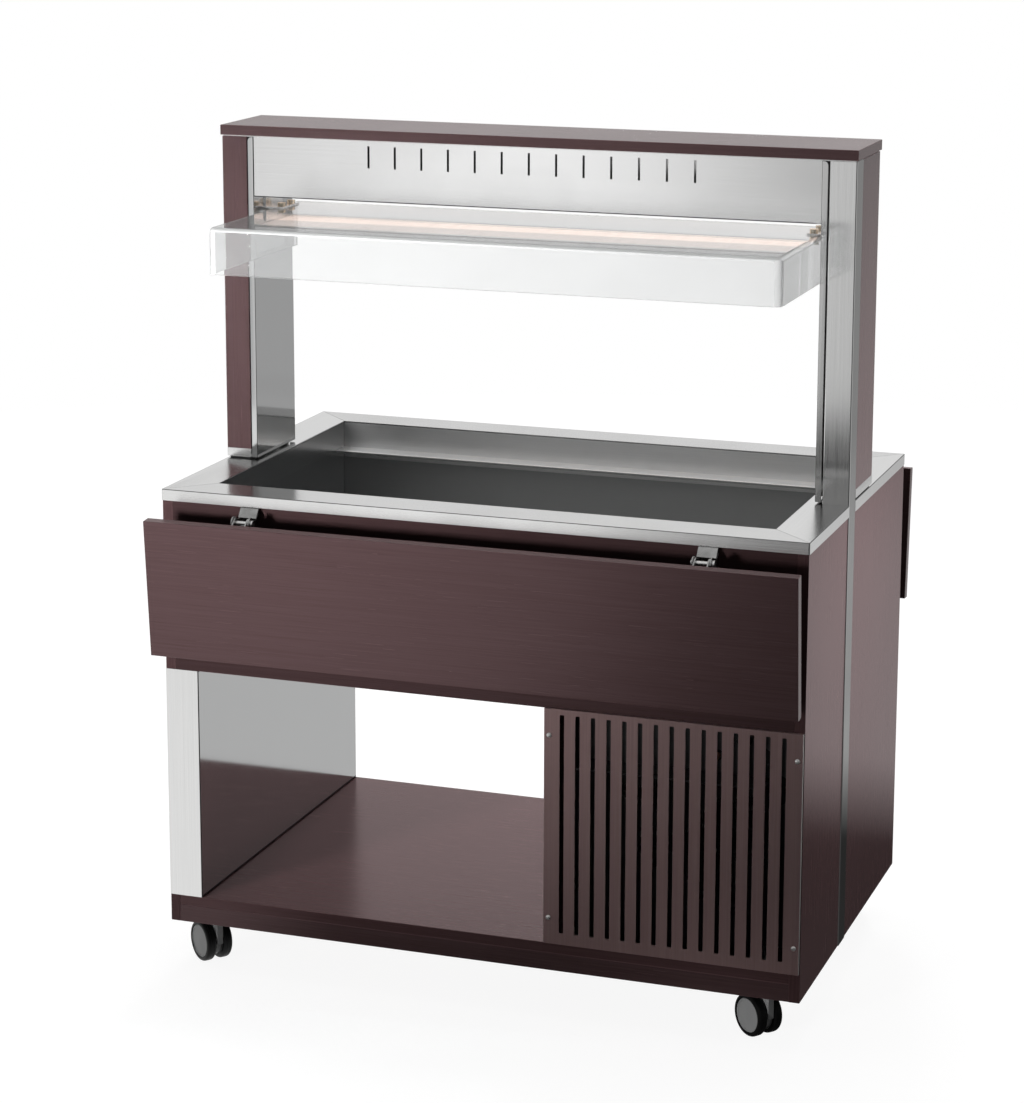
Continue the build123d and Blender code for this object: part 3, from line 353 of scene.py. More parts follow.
@dataclass(frozen=True)
class Laminate(Finish):
    """Dark wood laminate with fine straight grain."""

    run: Run = Run.X
    dark: Colour = (0.037, 0.0205, 0.0213)
    light: Colour = (0.053, 0.0325, 0.0335)
    rough: float = 0.22
    gloss: float = 0.5
    varnish: float = 0.0

    def lay(self, desk: Desk, shader: bpy.types.Node) -> None:
        """Set up grain, pores, a satin skin and a thin reddish varnish."""
        grain = desk.group(SharedEffects.straight_grain(), desk.stretched(self.run.stretch(4.5, 420.0)))
        marks = desk.group(SharedEffects.handling(), desk.stretched((1.0, 1.0, 1.0)))
        tone = desk.maths("ADD", desk.maths("MULTIPLY", grain.outputs["Fibre"], 0.85),
                          desk.maths("MULTIPLY", grain.outputs["Band"], 0.15))
        wood = desk.mix(tone, self.dark, self.light)
        shade = tuple(part * 0.55 for part in self.dark)
        wood = desk.mix(desk.maths("MULTIPLY", grain.outputs["Pore"], 0.4), wood, shade)
        desk.feed(shader.inputs["Base Color"], wood)
        skin = desk.remap(marks.outputs["Smudge"], 0.0, 1.0, self.rough, self.rough - 0.012)
        skin = desk.maths("ADD", skin, desk.maths("MULTIPLY", grain.outputs["Pore"], 0.06))
        desk.feed(shader.inputs["Roughness"], skin)
        desk.feed(shader.inputs["Normal"], desk.bump(grain.outputs["Height"], 0.1, 0.00004))
        shader.inputs["Specular IOR Level"].default_value = self.gloss
        shader.inputs["Specular Tint"].default_value = (1.0, 0.66, 0.68, 1.0)
        shader.inputs["Sheen Weight"].default_value = 0.18
        shader.inputs["Sheen Roughness"].default_value = 0.4
        shader.inputs["Sheen Tint"].default_value = (1.0, 0.5, 0.52, 1.0)
        shader.inputs["Coat Weight"].default_value = self.varnish
        shader.inputs["Coat IOR"].default_value = 1.05
        shader.inputs["Coat Roughness"].default_value = self.rough
        shader.inputs["Coat Tint"].default_value = (1.0, 0.935, 0.94, 1.0)


@dataclass(frozen=True)
class Brushed(Finish):
    """Stainless steel brushed in one direction."""

    run: Run = Run.X
    tint: Colour = (0.87, 0.87, 0.865)
    rough: float = 0.15
    swing: float = 0.06
    relief: float = 0.000006
    streak: float = 0.06

    def lay(self, desk: Desk, shader: bpy.types.Node) -> None:
        """Set up lines, sweeps and smudges."""
        lines = desk.group(SharedEffects.brushing(), desk.stretched(self.run.stretch(4.0, 640.0)))
        marks = desk.group(SharedEffects.handling(), desk.stretched((1.0, 1.0, 1.0)))
        deep = tuple(part * (1.0 - self.streak) for part in self.tint)
        pale = tuple(min(1.0, part * (1.0 + 0.6 * self.streak)) for part in self.tint)
        steel = desk.mix(lines.outputs["Line"], deep, pale)
        steel = desk.mix(desk.maths("MULTIPLY", lines.outputs["Sweep"], 0.3), steel, self.tint)
        desk.feed(shader.inputs["Base Color"], steel)
        shader.inputs["Metallic"].default_value = 1.0
        skin = desk.remap(lines.outputs["Line"], 0.0, 1.0, self.rough, self.rough + self.swing)
        skin = desk.maths("ADD", skin, desk.maths("MULTIPLY", marks.outputs["Smudge"], 0.04))
        desk.feed(shader.inputs["Roughness"], skin)
        desk.feed(shader.inputs["Normal"], desk.bump(lines.outputs["Height"], 0.3, self.relief))
        shader.inputs["Anisotropic"].default_value = 0.8
        across = desk.node("ShaderNodeTangent", direction_type="RADIAL", axis=self.run.name)
        desk.feed(shader.inputs["Tangent"], across.outputs[0])


@dataclass(frozen=True)
class DrawnMetal(Finish):
    """Plain drawn, turned or plated metal with a faint patina."""

    tint: Colour = (0.7, 0.7, 0.7)
    patina: Colour = (0.5, 0.5, 0.5)
    rough: float = 0.3

    def lay(self, desk: Desk, shader: bpy.types.Node) -> None:
        """Set up patina in patches and a mottled sheen."""
        skin = desk.group(SharedEffects.moulded_skin(), desk.stretched((1.0, 1.0, 1.0)))
        marks = desk.group(SharedEffects.handling(), desk.stretched((6.0, 6.0, 6.0)))
        desk.feed(shader.inputs["Base Color"], desk.mix(marks.outputs["Smudge"], self.tint, self.patina))
        shader.inputs["Metallic"].default_value = 1.0
        low, high = self.rough, self.rough + 0.12
        desk.feed(shader.inputs["Roughness"], desk.remap(skin.outputs["Mottle"], 0.0, 1.0, low, high))
        desk.feed(shader.inputs["Normal"], desk.bump(skin.outputs["Height"], 0.2, 0.00003))


@dataclass(frozen=True)
class Coated(Finish):
    """Coating over sheet metal, with a faint printed grain and thin spots."""

    run: Run = Run.Z
    tint: Colour = (0.148, 0.097, 0.095)
    dark: Colour = (0.116, 0.073, 0.072)
    rough: float = 0.45

    def lay(self, desk: Desk, shader: bpy.types.Node) -> None:
        """Set up the faint grain and an uneven satin skin."""
        grain = desk.group(SharedEffects.straight_grain(), desk.stretched(self.run.stretch(4.0, 300.0)))
        skin = desk.group(SharedEffects.moulded_skin(), desk.stretched((1.0, 1.0, 1.0)))
        desk.feed(shader.inputs["Base Color"], desk.mix(grain.outputs["Fibre"], self.dark, self.tint))
        low, high = self.rough - 0.05, self.rough + 0.06
        desk.feed(shader.inputs["Roughness"], desk.remap(skin.outputs["Mottle"], 0.0, 1.0, low, high))
        desk.feed(shader.inputs["Normal"], desk.bump(skin.outputs["Height"], 0.25, 0.00005))


@dataclass(frozen=True)
class Moulded(Finish):
    """Moulded plastic, rubber, enamel or ceramic; its black also serves as painted shade."""

    tint: Colour = (0.2, 0.2, 0.2)
    dusty: Colour = (0.3, 0.3, 0.3)
    rough: float = 0.5
    relief: float = 0.00006
    gloss: float = 0.5

    def lay(self, desk: Desk, shader: bpy.types.Node) -> None:
        """Set up mottling, dust and a fine skin."""
        skin = desk.group(SharedEffects.moulded_skin(), desk.stretched((1.0, 1.0, 1.0)))
        marks = desk.group(SharedEffects.handling(), desk.stretched((1.5, 1.5, 1.5)))
        grime = desk.maths("MULTIPLY", marks.outputs["Dust"], 0.35)
        grime = desk.maths("ADD", grime, desk.maths("MULTIPLY", skin.outputs["Mottle"], 0.25))
        desk.feed(shader.inputs["Base Color"], desk.mix(grime, self.tint, self.dusty))
        low, high = self.rough - 0.06, self.rough + 0.08
        desk.feed(shader.inputs["Roughness"], desk.remap(marks.outputs["Smudge"], 0.0, 1.0, high, low))
        desk.feed(shader.inputs["Normal"], desk.bump(skin.outputs["Height"], 0.4, self.relief))
        shader.inputs["Specular IOR Level"].default_value = self.gloss


@dataclass(frozen=True)
class Foam(Finish):
    """Rigid foam with open cells on its cut faces."""

    tint: Colour = (0.78, 0.68, 0.42)
    cell: Colour = (0.55, 0.45, 0.25)

    def lay(self, desk: Desk, shader: bpy.types.Node) -> None:
        """Set up cells as colour and relief."""
        cells = desk.node("ShaderNodeTexVoronoi", {"Vector": desk.stretched((1.0, 1.0, 1.0)), "Scale": 420.0})
        depth = cells.outputs["Distance"]
        desk.feed(shader.inputs["Base Color"], desk.mix(depth, self.cell, self.tint))
        desk.feed(shader.inputs["Roughness"], desk.remap(depth, 0.0, 1.0, 0.95, 0.8))
        desk.feed(shader.inputs["Normal"], desk.bump(depth, 0.5, 0.0006))


@dataclass(frozen=True)
class Clear(Finish):
    """Clear sheet that lets light through and shows faint wiping marks."""

    tint: Colour = (0.83, 0.835, 0.835)
    ior: float = 1.49
    rough: float = 0.02
    haze: float = 0.1

    def lay(self, desk: Desk, shader: bpy.types.Node) -> bpy.types.NodeSocket:
        """Set up the clear body and let shadow rays pass."""
        marks = desk.group(SharedEffects.handling(), desk.stretched((1.0, 2.0, 2.0)))
        cloudy = tuple(part * 0.97 for part in self.tint)
        desk.feed(shader.inputs["Base Color"], desk.mix(marks.outputs["Smudge"], self.tint, cloudy))
        low, high = self.rough, self.rough + 0.03
        desk.feed(shader.inputs["Roughness"], desk.remap(marks.outputs["Smudge"], 0.0, 1.0, low, high))
        shader.inputs["Transmission Weight"].default_value = 1.0 - self.haze
        shader.inputs["IOR"].default_value = self.ior
        path = desk.node("ShaderNodeLightPath")
        through = desk.node("ShaderNodeBsdfTransparent", {"Color": (0.93, 0.94, 0.94, 1.0)})
        joined = desk.node("ShaderNodeMixShader")
        desk.feed(joined.inputs[0], path.outputs["Is Shadow Ray"])
        desk.feed(joined.inputs[1], shader.outputs[0])
        desk.feed(joined.inputs[2], through.outputs[0])
        return joined.outputs[0]


@dataclass(frozen=True)
class SawnEdge(Finish):
    """Polished sawn edge of a clear sheet, which gathers light and looks white."""

    tint: Colour = (0.8, 0.81, 0.81)

    def lay(self, desk: Desk, shader: bpy.types.Node) -> None:
        """Set up a frosted, half clear body with fine saw marks."""
        lines = desk.group(SharedEffects.brushing(), desk.stretched((700.0, 700.0, 60.0)))
        deep = tuple(part * 0.9 for part in self.tint)
        desk.feed(shader.inputs["Base Color"], desk.mix(lines.outputs["Line"], deep, self.tint))
        desk.feed(shader.inputs["Roughness"], desk.remap(lines.outputs["Sweep"], 0.0, 1.0, 0.25, 0.4))
        shader.inputs["Transmission Weight"].default_value = 0.45
        shader.inputs["IOR"].default_value = 1.49


@dataclass(frozen=True)
class Glow(Finish):
    """Warm lamp tube that gives light, and a painted glow on the lamp's cover and the tray's underside."""

    tint: Colour = (1.0, 0.55, 0.26)
    strength: float = 2.4

    def lay(self, desk: Desk, shader: bpy.types.Node) -> None:
        """Set up the glow, a little uneven along the tube."""
        coil = desk.noise(desk.stretched((90.0, 6.0, 6.0)), 1.0, 2.0)
        dim = tuple(part * 0.8 for part in self.tint)
        hot = desk.mix(coil, dim, self.tint)
        desk.feed(shader.inputs["Base Color"], hot)
        desk.feed(shader.inputs["Emission Color"], hot)
        shader.inputs["Emission Strength"].default_value = self.strength
        desk.feed(shader.inputs["Roughness"], desk.remap(coil, 0.0, 1.0, 0.15, 0.25))


@dataclass(frozen=True)
class FinishBook:
    """All finishes of the cart."""

    wood_x: Finish = Laminate("wenge_along", Run.X)
    wood_y: Finish = Laminate("wenge_deep", Run.Y)
    wood_z: Finish = Laminate("wenge_upright", Run.Z)
    wood_side: Finish = Laminate("wenge_side", Run.Z, gloss=0.26, varnish=1.0)
    wood_floor: Finish = Laminate("wenge_floor", Run.X, gloss=0.42, varnish=1.0)
    # Painted shade: a darker, less glossy copy of the laminate for the fascia boards behind the leaves.
    wood_fascia_shaded: Finish = Laminate("wenge_fascia_shaded", Run.X, (0.027, 0.0145, 0.0151), (0.038, 0.0225, 0.0232), gloss=0.15)
    wood_edge: Finish = Laminate("wenge_edge", Run.X, (0.062, 0.033, 0.035), (0.092, 0.054, 0.056), 0.26)
    steel_x: Finish = Brushed("steel_along", Run.X)
    steel_y: Finish = Brushed("steel_across", Run.Y)
    # Painted highlight: a brighter copy of the brushed steel for the canopy panels.
    panel: Finish = Brushed("steel_panel", Run.X, (0.97, 0.97, 0.965))
    steel_z: Finish = Brushed("steel_upright", Run.Z, (0.88, 0.88, 0.875), 0.1, 0.05)
    # Painted shade: a darker copy of the upright's steel for the uprights' sides.
    steel_side_shaded: Finish = Brushed("steel_side_shaded", Run.Z, (0.34, 0.34, 0.335), 0.16, 0.05)
    ledge: Finish = Brushed("steel_ledge", Run.X, (0.94, 0.94, 0.935), 0.46, 0.06)
    ledge_nose: Finish = Brushed("ledge_nose", Run.X, (0.96, 0.96, 0.955), 0.2, 0.05)
    steel_edge: Finish = Brushed("steel_edge", Run.X, (0.86, 0.86, 0.855), 0.14, 0.06)
    # Painted shade: a dark copy of the steel for softened edges and folds; on the counter it also makes the dark mitre
    # joints.
    steel_seam_and_edge_shade: Finish = Brushed("steel_seam_and_edge_shade", Run.X, (0.26, 0.26, 0.26), 0.2, 0.06)
    mirror: Finish = Brushed("steel_bright", Run.Z, (0.66, 0.665, 0.665), 0.07, 0.03, 0.000003, 0.02)
    # Painted light and shade: a paler copy of the bright steel for the cladding's ends, and the duller copy for the
    # right post's cover.
    cover: Finish = Brushed("steel_cover", Run.Z, (0.72, 0.72, 0.715), 0.12, 0.05)
    well_x: Finish = Brushed("well_along", Run.X, (0.92, 0.925, 0.925), 0.32, 0.05, 0.000002, 0.05)
    # Painted shade: darker copies of the well's steel for the end walls and for the sheets below the ledges.
    well_y_shaded: Finish = Brushed("well_across", Run.Y, (0.32, 0.325, 0.33), 0.12, 0.04, 0.000002, 0.04)
    well_low_shaded: Finish = Brushed("well_below", Run.X, (0.44, 0.445, 0.445), 0.36, 0.05, 0.000002, 0.05)
    well_end_shaded: Finish = Brushed("well_below_end", Run.Y, (0.3, 0.305, 0.31), 0.12, 0.04, 0.000002, 0.04)
    shiny: Finish = DrawnMetal("bright_steel", (0.93, 0.93, 0.92), (0.84, 0.84, 0.83), 0.24)
    hinge: Finish = DrawnMetal("hinge_steel", (0.5, 0.5, 0.495), (0.34, 0.34, 0.335), 0.22)
    # Painted reflection: the bolts' yellow tint stands in for warm glints of the lamp.
    warm_glint_metal: Finish = DrawnMetal("bolt_painted_warm_glint", (0.76, 0.71, 0.6), (0.58, 0.53, 0.43), 0.2)
    coated: Finish = Coated("grille_brown")
    coated_edge: Finish = Coated("grille_edge", Run.Z, (0.11, 0.088, 0.086), (0.085, 0.066, 0.065), 0.35)
    foam: Finish = Foam("foam_cells")
    copper: Finish = DrawnMetal("copper_tube", (0.86, 0.42, 0.26), (0.6, 0.28, 0.17), 0.28)
    brass: Finish = DrawnMetal("turned_brass", (0.78, 0.56, 0.24), (0.62, 0.42, 0.18), 0.26)
    aluminium: Finish = DrawnMetal("mill_aluminium", (0.72, 0.72, 0.73), (0.6, 0.6, 0.61), 0.34)
    zinc: Finish = DrawnMetal("zinc_plate", (0.56, 0.57, 0.58), (0.45, 0.46, 0.48), 0.36)
    lever: Finish = Moulded("dipped_red", (0.42, 0.022, 0.016), (0.5, 0.06, 0.05), 0.3, 0.00003)
    enamel: Finish = Moulded("black_enamel", (0.012, 0.012, 0.0125), (0.04, 0.04, 0.041), 0.28, 0.00008)
    # Black for the switches, knob and gland, and painted shade on the edges of the cladding, canopy panels, left post
    # cover and well sheets, and on the plinths' feet.
    black: Finish = Moulded("black_moulding_and_edge_shade", (0.014, 0.014, 0.0145), (0.05, 0.05, 0.05), 0.46)
    grey: Finish = Moulded("grey_moulding", (0.24, 0.242, 0.242), (0.28, 0.28, 0.28), 0.46, gloss=0.4)
    # Pale grey for the front grille's flange sides.
    pale_flange: Finish = Moulded("flange_pale_grey", (0.46, 0.46, 0.45), (0.38, 0.38, 0.37), 0.5)
    rubber: Finish = Moulded("tread_rubber", (0.0035, 0.0035, 0.0037), (0.012, 0.0118, 0.0115), 0.42, gloss=0.14)
    ceramic: Finish = Moulded("lamp_ceramic", (0.7, 0.69, 0.66), (0.55, 0.53, 0.5), 0.55)
    tick: Finish = Moulded("scale_ink", (0.02, 0.02, 0.02), (0.05, 0.05, 0.05), 0.6)
    clear: Finish = Clear("clear_acrylic")
    # Painted highlight: a whiter, hazier copy of the clear sheet for its bends.
    bend: Finish = Clear("acrylic_bend", (0.93, 0.935, 0.935), 1.49, 0.08, 0.42)
    sawn: Finish = SawnEdge("acrylic_edge")
    # Painted glow: the lamp's cover emits warm light of its own, standing in for the lamp's light shining through it.
    glass: Finish = Glow("warm_glass_painted_glow", (1.0, 0.79, 0.68), 0.95)
    # Painted light: the warm glow on the light tray's underside.
    spill: Finish = Glow("warm_spill", (1.0, 0.84, 0.77), 0.4)
    glow: Finish = Glow("warm_lamp")


BOOK = FinishBook()


# ---- mesh building ---------------------------------------------------------


class Bench:
    """Makes pieces, dresses them and keeps the CAD nodes at hand."""

    def __init__(self, frame: dict[str, Any]) -> None:
        """Take the loaded frame."""
        self.nodes: dict[str, bpy.types.Object] = frame["nodes"]
        self.slots = {row["node"]: row["material_slot"] for row in frame["record"]["subparts"]}
        self.bodies = {
            node: body for body, members in frame["record"]["behaviour"]["bodies"].items() for node in members
        }

    def dress(self, node: str, finish: Finish) -> None:
        """Give a CAD node that stays in view a finish."""
        part = self.nodes[node]
        part.data.materials.clear()
        part.data.materials.append(finish.material())
        LOG.info("dressed %s with %s", node, finish.name)

    def piece(
        self, name: str, mesh: bmesh.types.BMesh, node: str, finishes: Sequence[Finish], stands_in: bool = True
    ) -> bpy.types.Object:
        """Turn a mesh into a finished piece.

        Args:
            name: The piece's name.
            mesh: Its mesh, which is freed.
            node: CAD node that it replaces, or that it sits on.
            finishes: Finishes in the order of the faces' material numbers.
            stands_in: Whether the piece replaces the node.

        Returns:
            The new object.
        """
        data = bpy.data.meshes.new(name)
        mesh.to_mesh(data)
        mesh.free()
        for finish in finishes:
            data.materials.append(finish.material())
        data.shade_smooth()
        data.set_sharp_from_angle(angle=math.radians(32))
        made = bpy.data.objects.new(name, data)
        bpy.context.scene.collection.objects.link(made)
        even = made.modifiers.new("even_shading", "WEIGHTED_NORMAL")
        even.keep_sharp = True
        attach(made, self.bodies[node])
        if stands_in:
            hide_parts(node)
        LOG.info("built %s on %s, %d faces", name, self.bodies[node], len(data.polygons))
        return made

    def copy(self, node: str, keep: Optional[Picker] = None) -> bmesh.types.BMesh:
        """Return a clean copy of a CAD node's mesh.

        Args:
            node: The node.
            keep: Test on the middle of each loose solid, or None to keep all.

        Returns:
            The copy, with flat areas joined to single faces.
        """
        mesh = bmesh.new()
        mesh.from_mesh(self.nodes[node].data)
        bmesh.ops.remove_doubles(mesh, verts=mesh.verts, dist=1e-5)
        if keep:
            for solid in self.solids(mesh):
                low = [min(vert.co[axis] for vert in solid) for axis in range(3)]
                high = [max(vert.co[axis] for vert in solid) for axis in range(3)]
                if not keep((Vector(low) + Vector(high)) / 2):
                    bmesh.ops.delete(mesh, geom=solid, context="VERTS")
        bmesh.ops.dissolve_limit(
            mesh, angle_limit=math.radians(0.4), verts=mesh.verts[:], edges=mesh.edges[:], delimit={"NORMAL"}
        )
        return mesh

    @staticmethod
    def solids(mesh: bmesh.types.BMesh) -> list[list[bmesh.types.BMVert]]:
        """Return the vertices of each loose solid of a mesh."""
        left = set(mesh.verts)
        found = []
        while left:
            front = [left.pop()]
            solid = []
            while front:
                vert = front.pop()
                solid.append(vert)
                for edge in vert.link_edges:
                    other = edge.other_vert(vert)
                    if other in left:
                        left.remove(other)
                        front.append(other)
            found.append(solid)
        return found

    @staticmethod
    def ease(mesh: bmesh.types.BMesh, width: float, steps: int = 2) -> None:
        """Round a mesh's sharp edges a little and mark the new faces as edges.

        Args:
            mesh: The mesh to change.
            width: Width of the rounding.
            steps: Faces across the rounding.
        """
        sharp = [
            edge for edge in mesh.edges if edge.is_manifold and edge.calc_face_angle(0.0) > math.radians(40)
        ]
        bmesh.ops.bevel(
            mesh, geom=sharp, offset=width, offset_type="OFFSET", segments=steps, profile=0.5,
            affect="EDGES", clamp_overlap=True, material=Face.EDGE.value,
        )

    @staticmethod
    def fold(mesh: bmesh.types.BMesh, chosen: EdgePicker, width: float, steps: int = 3) -> None:
        """Round chosen edges as a sheet's fold and mark the new faces as edges.

        Args:
            mesh: The mesh to change.
            chosen: Test on each edge.
            width: Width of the rounding.
            steps: Faces across the rounding.
        """
        bmesh.ops.bevel(
            mesh, geom=[edge for edge in mesh.edges if chosen(edge)], offset=width, offset_type="OFFSET", segments=steps, profile=0.5,
            affect="EDGES", clamp_overlap=False, material=Face.EDGE.value,
        )

    def eased(
        self, node: str, width: float, main: Finish, edge: Finish, keep: Optional[Picker] = None, tag: str = "skin"
    ) -> bpy.types.Object:
        """Replace a CAD node, or some of its solids, by a copy with softened edges.

        Args:
            node: The node.
            width: Width of the softened edges.
            main: Finish of the faces.
            edge: Finish of the softened edges.
            keep: Test on the middle of each solid, or None for all.
            tag: End of the piece's name.

        Returns:
            The new piece.
        """
        mesh = self.copy(node, keep)
        self.ease(mesh, width)
        return self.piece(f"{node}_{tag}", mesh, node, (main, edge))


def lathe(profile: Sequence[tuple[float, float]], steps: int, place: Matrix) -> bmesh.types.BMesh:
    """Return a turned solid.

    Args:
        profile: Points (along the axis, from the axis) from one end to the other.
        steps: Faces round the axis.
        place: Where the solid goes; its axis is the place's Z.

    Returns:
        The mesh.
    """
    mesh = bmesh.new()
    rings = []
    for along, radius in profile:
        if radius < 1e-7:
            rings.append([mesh.verts.new((0.0, 0.0, along))])
            continue
        turn = [2 * math.pi * step / steps for step in range(steps)]
        rings.append([mesh.verts.new((radius * math.cos(a), radius * math.sin(a), along)) for a in turn])
    for low, high in zip(rings, rings[1:]):
        for step in range(steps):
            after = (step + 1) % steps
            corners = [low[step % len(low)], low[after % len(low)], high[after % len(high)], high[step % len(high)]]
            mesh.faces.new(list(dict.fromkeys(corners)))
    bmesh.ops.recalc_face_normals(mesh, faces=mesh.faces)
    mesh.transform(place)
    return mesh


def join(meshes: Iterable[bmesh.types.BMesh]) -> bmesh.types.BMesh:
    """Return one mesh with the contents of several, which are freed."""
    whole = bmesh.new()
    for mesh in meshes:
        part = bpy.data.meshes.new("part")
        mesh.to_mesh(part)
        mesh.free()
        whole.from_mesh(part)
        bpy.data.meshes.remove(part)
    return whole


def block(low: Place, high: Place, ease: float = 0.0) -> bmesh.types.BMesh:
    """Return a square block with softened edges.

    Args:
        low: Lowest corner.
        high: Highest corner.
        ease: Width of the softened edges.

    Returns:
        The mesh.
    """
    mesh = bmesh.new()
    size = Vector(high) - Vector(low)
    place = Matrix.Translation((Vector(low) + Vector(high)) / 2) @ Matrix.Diagonal((*size, 1.0))
    bmesh.ops.create_cube(mesh, size=1.0, matrix=place)
    if ease:
        bmesh.ops.bevel(mesh, geom=mesh.edges[:], offset=ease, segments=2, profile=0.5, affect="EDGES")
    return mesh


def facing(origin: Place, axis: Place, up: Place = (0.0, 0.0, 1.0)) -> Matrix:
    """Return a place whose Z points along an axis.

    Args:
        origin: Its origin.
        axis: Direction of its Z.
        up: Direction near its Y.

    Returns:
        The matrix of the place.
    """
    third = Vector(axis).normalized()
    first = Vector(up).cross(third).normalized()
    second = third.cross(first)
    turn = Matrix((first, second, third)).transposed().to_4x4()
    return Matrix.Translation(origin) @ turn


# ---- sub-assemblies --------------------------------------------------------


@dataclass
class Cabinet:
    """Base, side panels, fascia, bay lining and the steel uprights."""

    board_ease: float = 0.0008
    sheet_ease: float = 0.0004
    corner: float = 0.0015
    joint: float = 0.0022
    tube_ease: float = 0.0008

    def build(self, bench: Bench) -> None:
        """Build the boards with softened edges and dress the uprights."""
        for node in ("base_rails", "bay_ceiling"):
            bench.eased(node, self.board_ease, BOOK.wood_x, BOOK.wood_edge)
        # The fascia boards get the darker laminate as painted shade.
        bench.eased("fascia_boards", self.board_ease, BOOK.wood_fascia_shaded, BOOK.wood_edge)
        for node in ("side_panels_left", "side_panels_right", "bay_walls"):
            bench.eased(node, self.board_ease, BOOK.wood_side, BOOK.wood_edge)
        bench.eased("bottom_board", self.board_ease, BOOK.wood_floor, BOOK.wood_edge)
        self.uprights(bench)
        self.cladding(bench)

    def cladding(self, bench: Bench) -> None:
        """Build the bright cladding, with its ends paler as a painted highlight, its folded corners black as painted
        shade, and a black strip along its foot on the board.
        """
        low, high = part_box("column_cladding")
        line = low.z + self.joint
        mesh = bench.copy("column_cladding")
        geometry = mesh.verts[:] + mesh.edges[:] + mesh.faces[:]
        bmesh.ops.bisect_plane(mesh, geom=geometry, plane_co=(0.0, 0.0, line), plane_no=(0.0, 0.0, 1.0))
        bench.fold(mesh, lambda edge: self.on_corner(edge, low, high), self.corner)
        # Painted light: the faces along Y get the paler steel as a highlight, the folds stay black as shade, and faces
        # below the line are black.
        for face in mesh.faces:
            if abs(face.normal.y) > 0.99:
                face.material_index = Face.BEND.value
            elif face.calc_center_median().z < line:
                face.material_index = Face.EDGE.value
        bench.piece("column_cladding_sheet", mesh, "column_cladding", (BOOK.mirror, BOOK.black, BOOK.cover))

    @staticmethod
    def on_corner(edge: bmesh.types.BMEdge, low: Vector, high: Vector) -> bool:
        """Tell whether an edge lies on the cladding's outer corners, on the bay's side."""
        ends = [vert.co for vert in edge.verts]
        return all(high.x - end.x < 1e-5 and min(end.y - low.y, high.y - end.y) < 1e-5 for end in ends)

    def uprights(self, bench: Bench) -> None:
        """Build the square uprights, their sides painted darker as shade, which show as strips between the side
        panels, and their softened edges painted dark as shade.
        """
        mesh = bench.copy("uprights")
        bench.ease(mesh, self.tube_ease)
        # Painted shade: the faces along X get the darker steel.
        for face in mesh.faces:
            if abs(face.normal.x) > 0.99:
                face.material_index = Face.BEND.value
        bench.piece("uprights_tubes", mesh, "uprights", (BOOK.steel_z, BOOK.steel_seam_and_edge_shade, BOOK.steel_side_shaded))


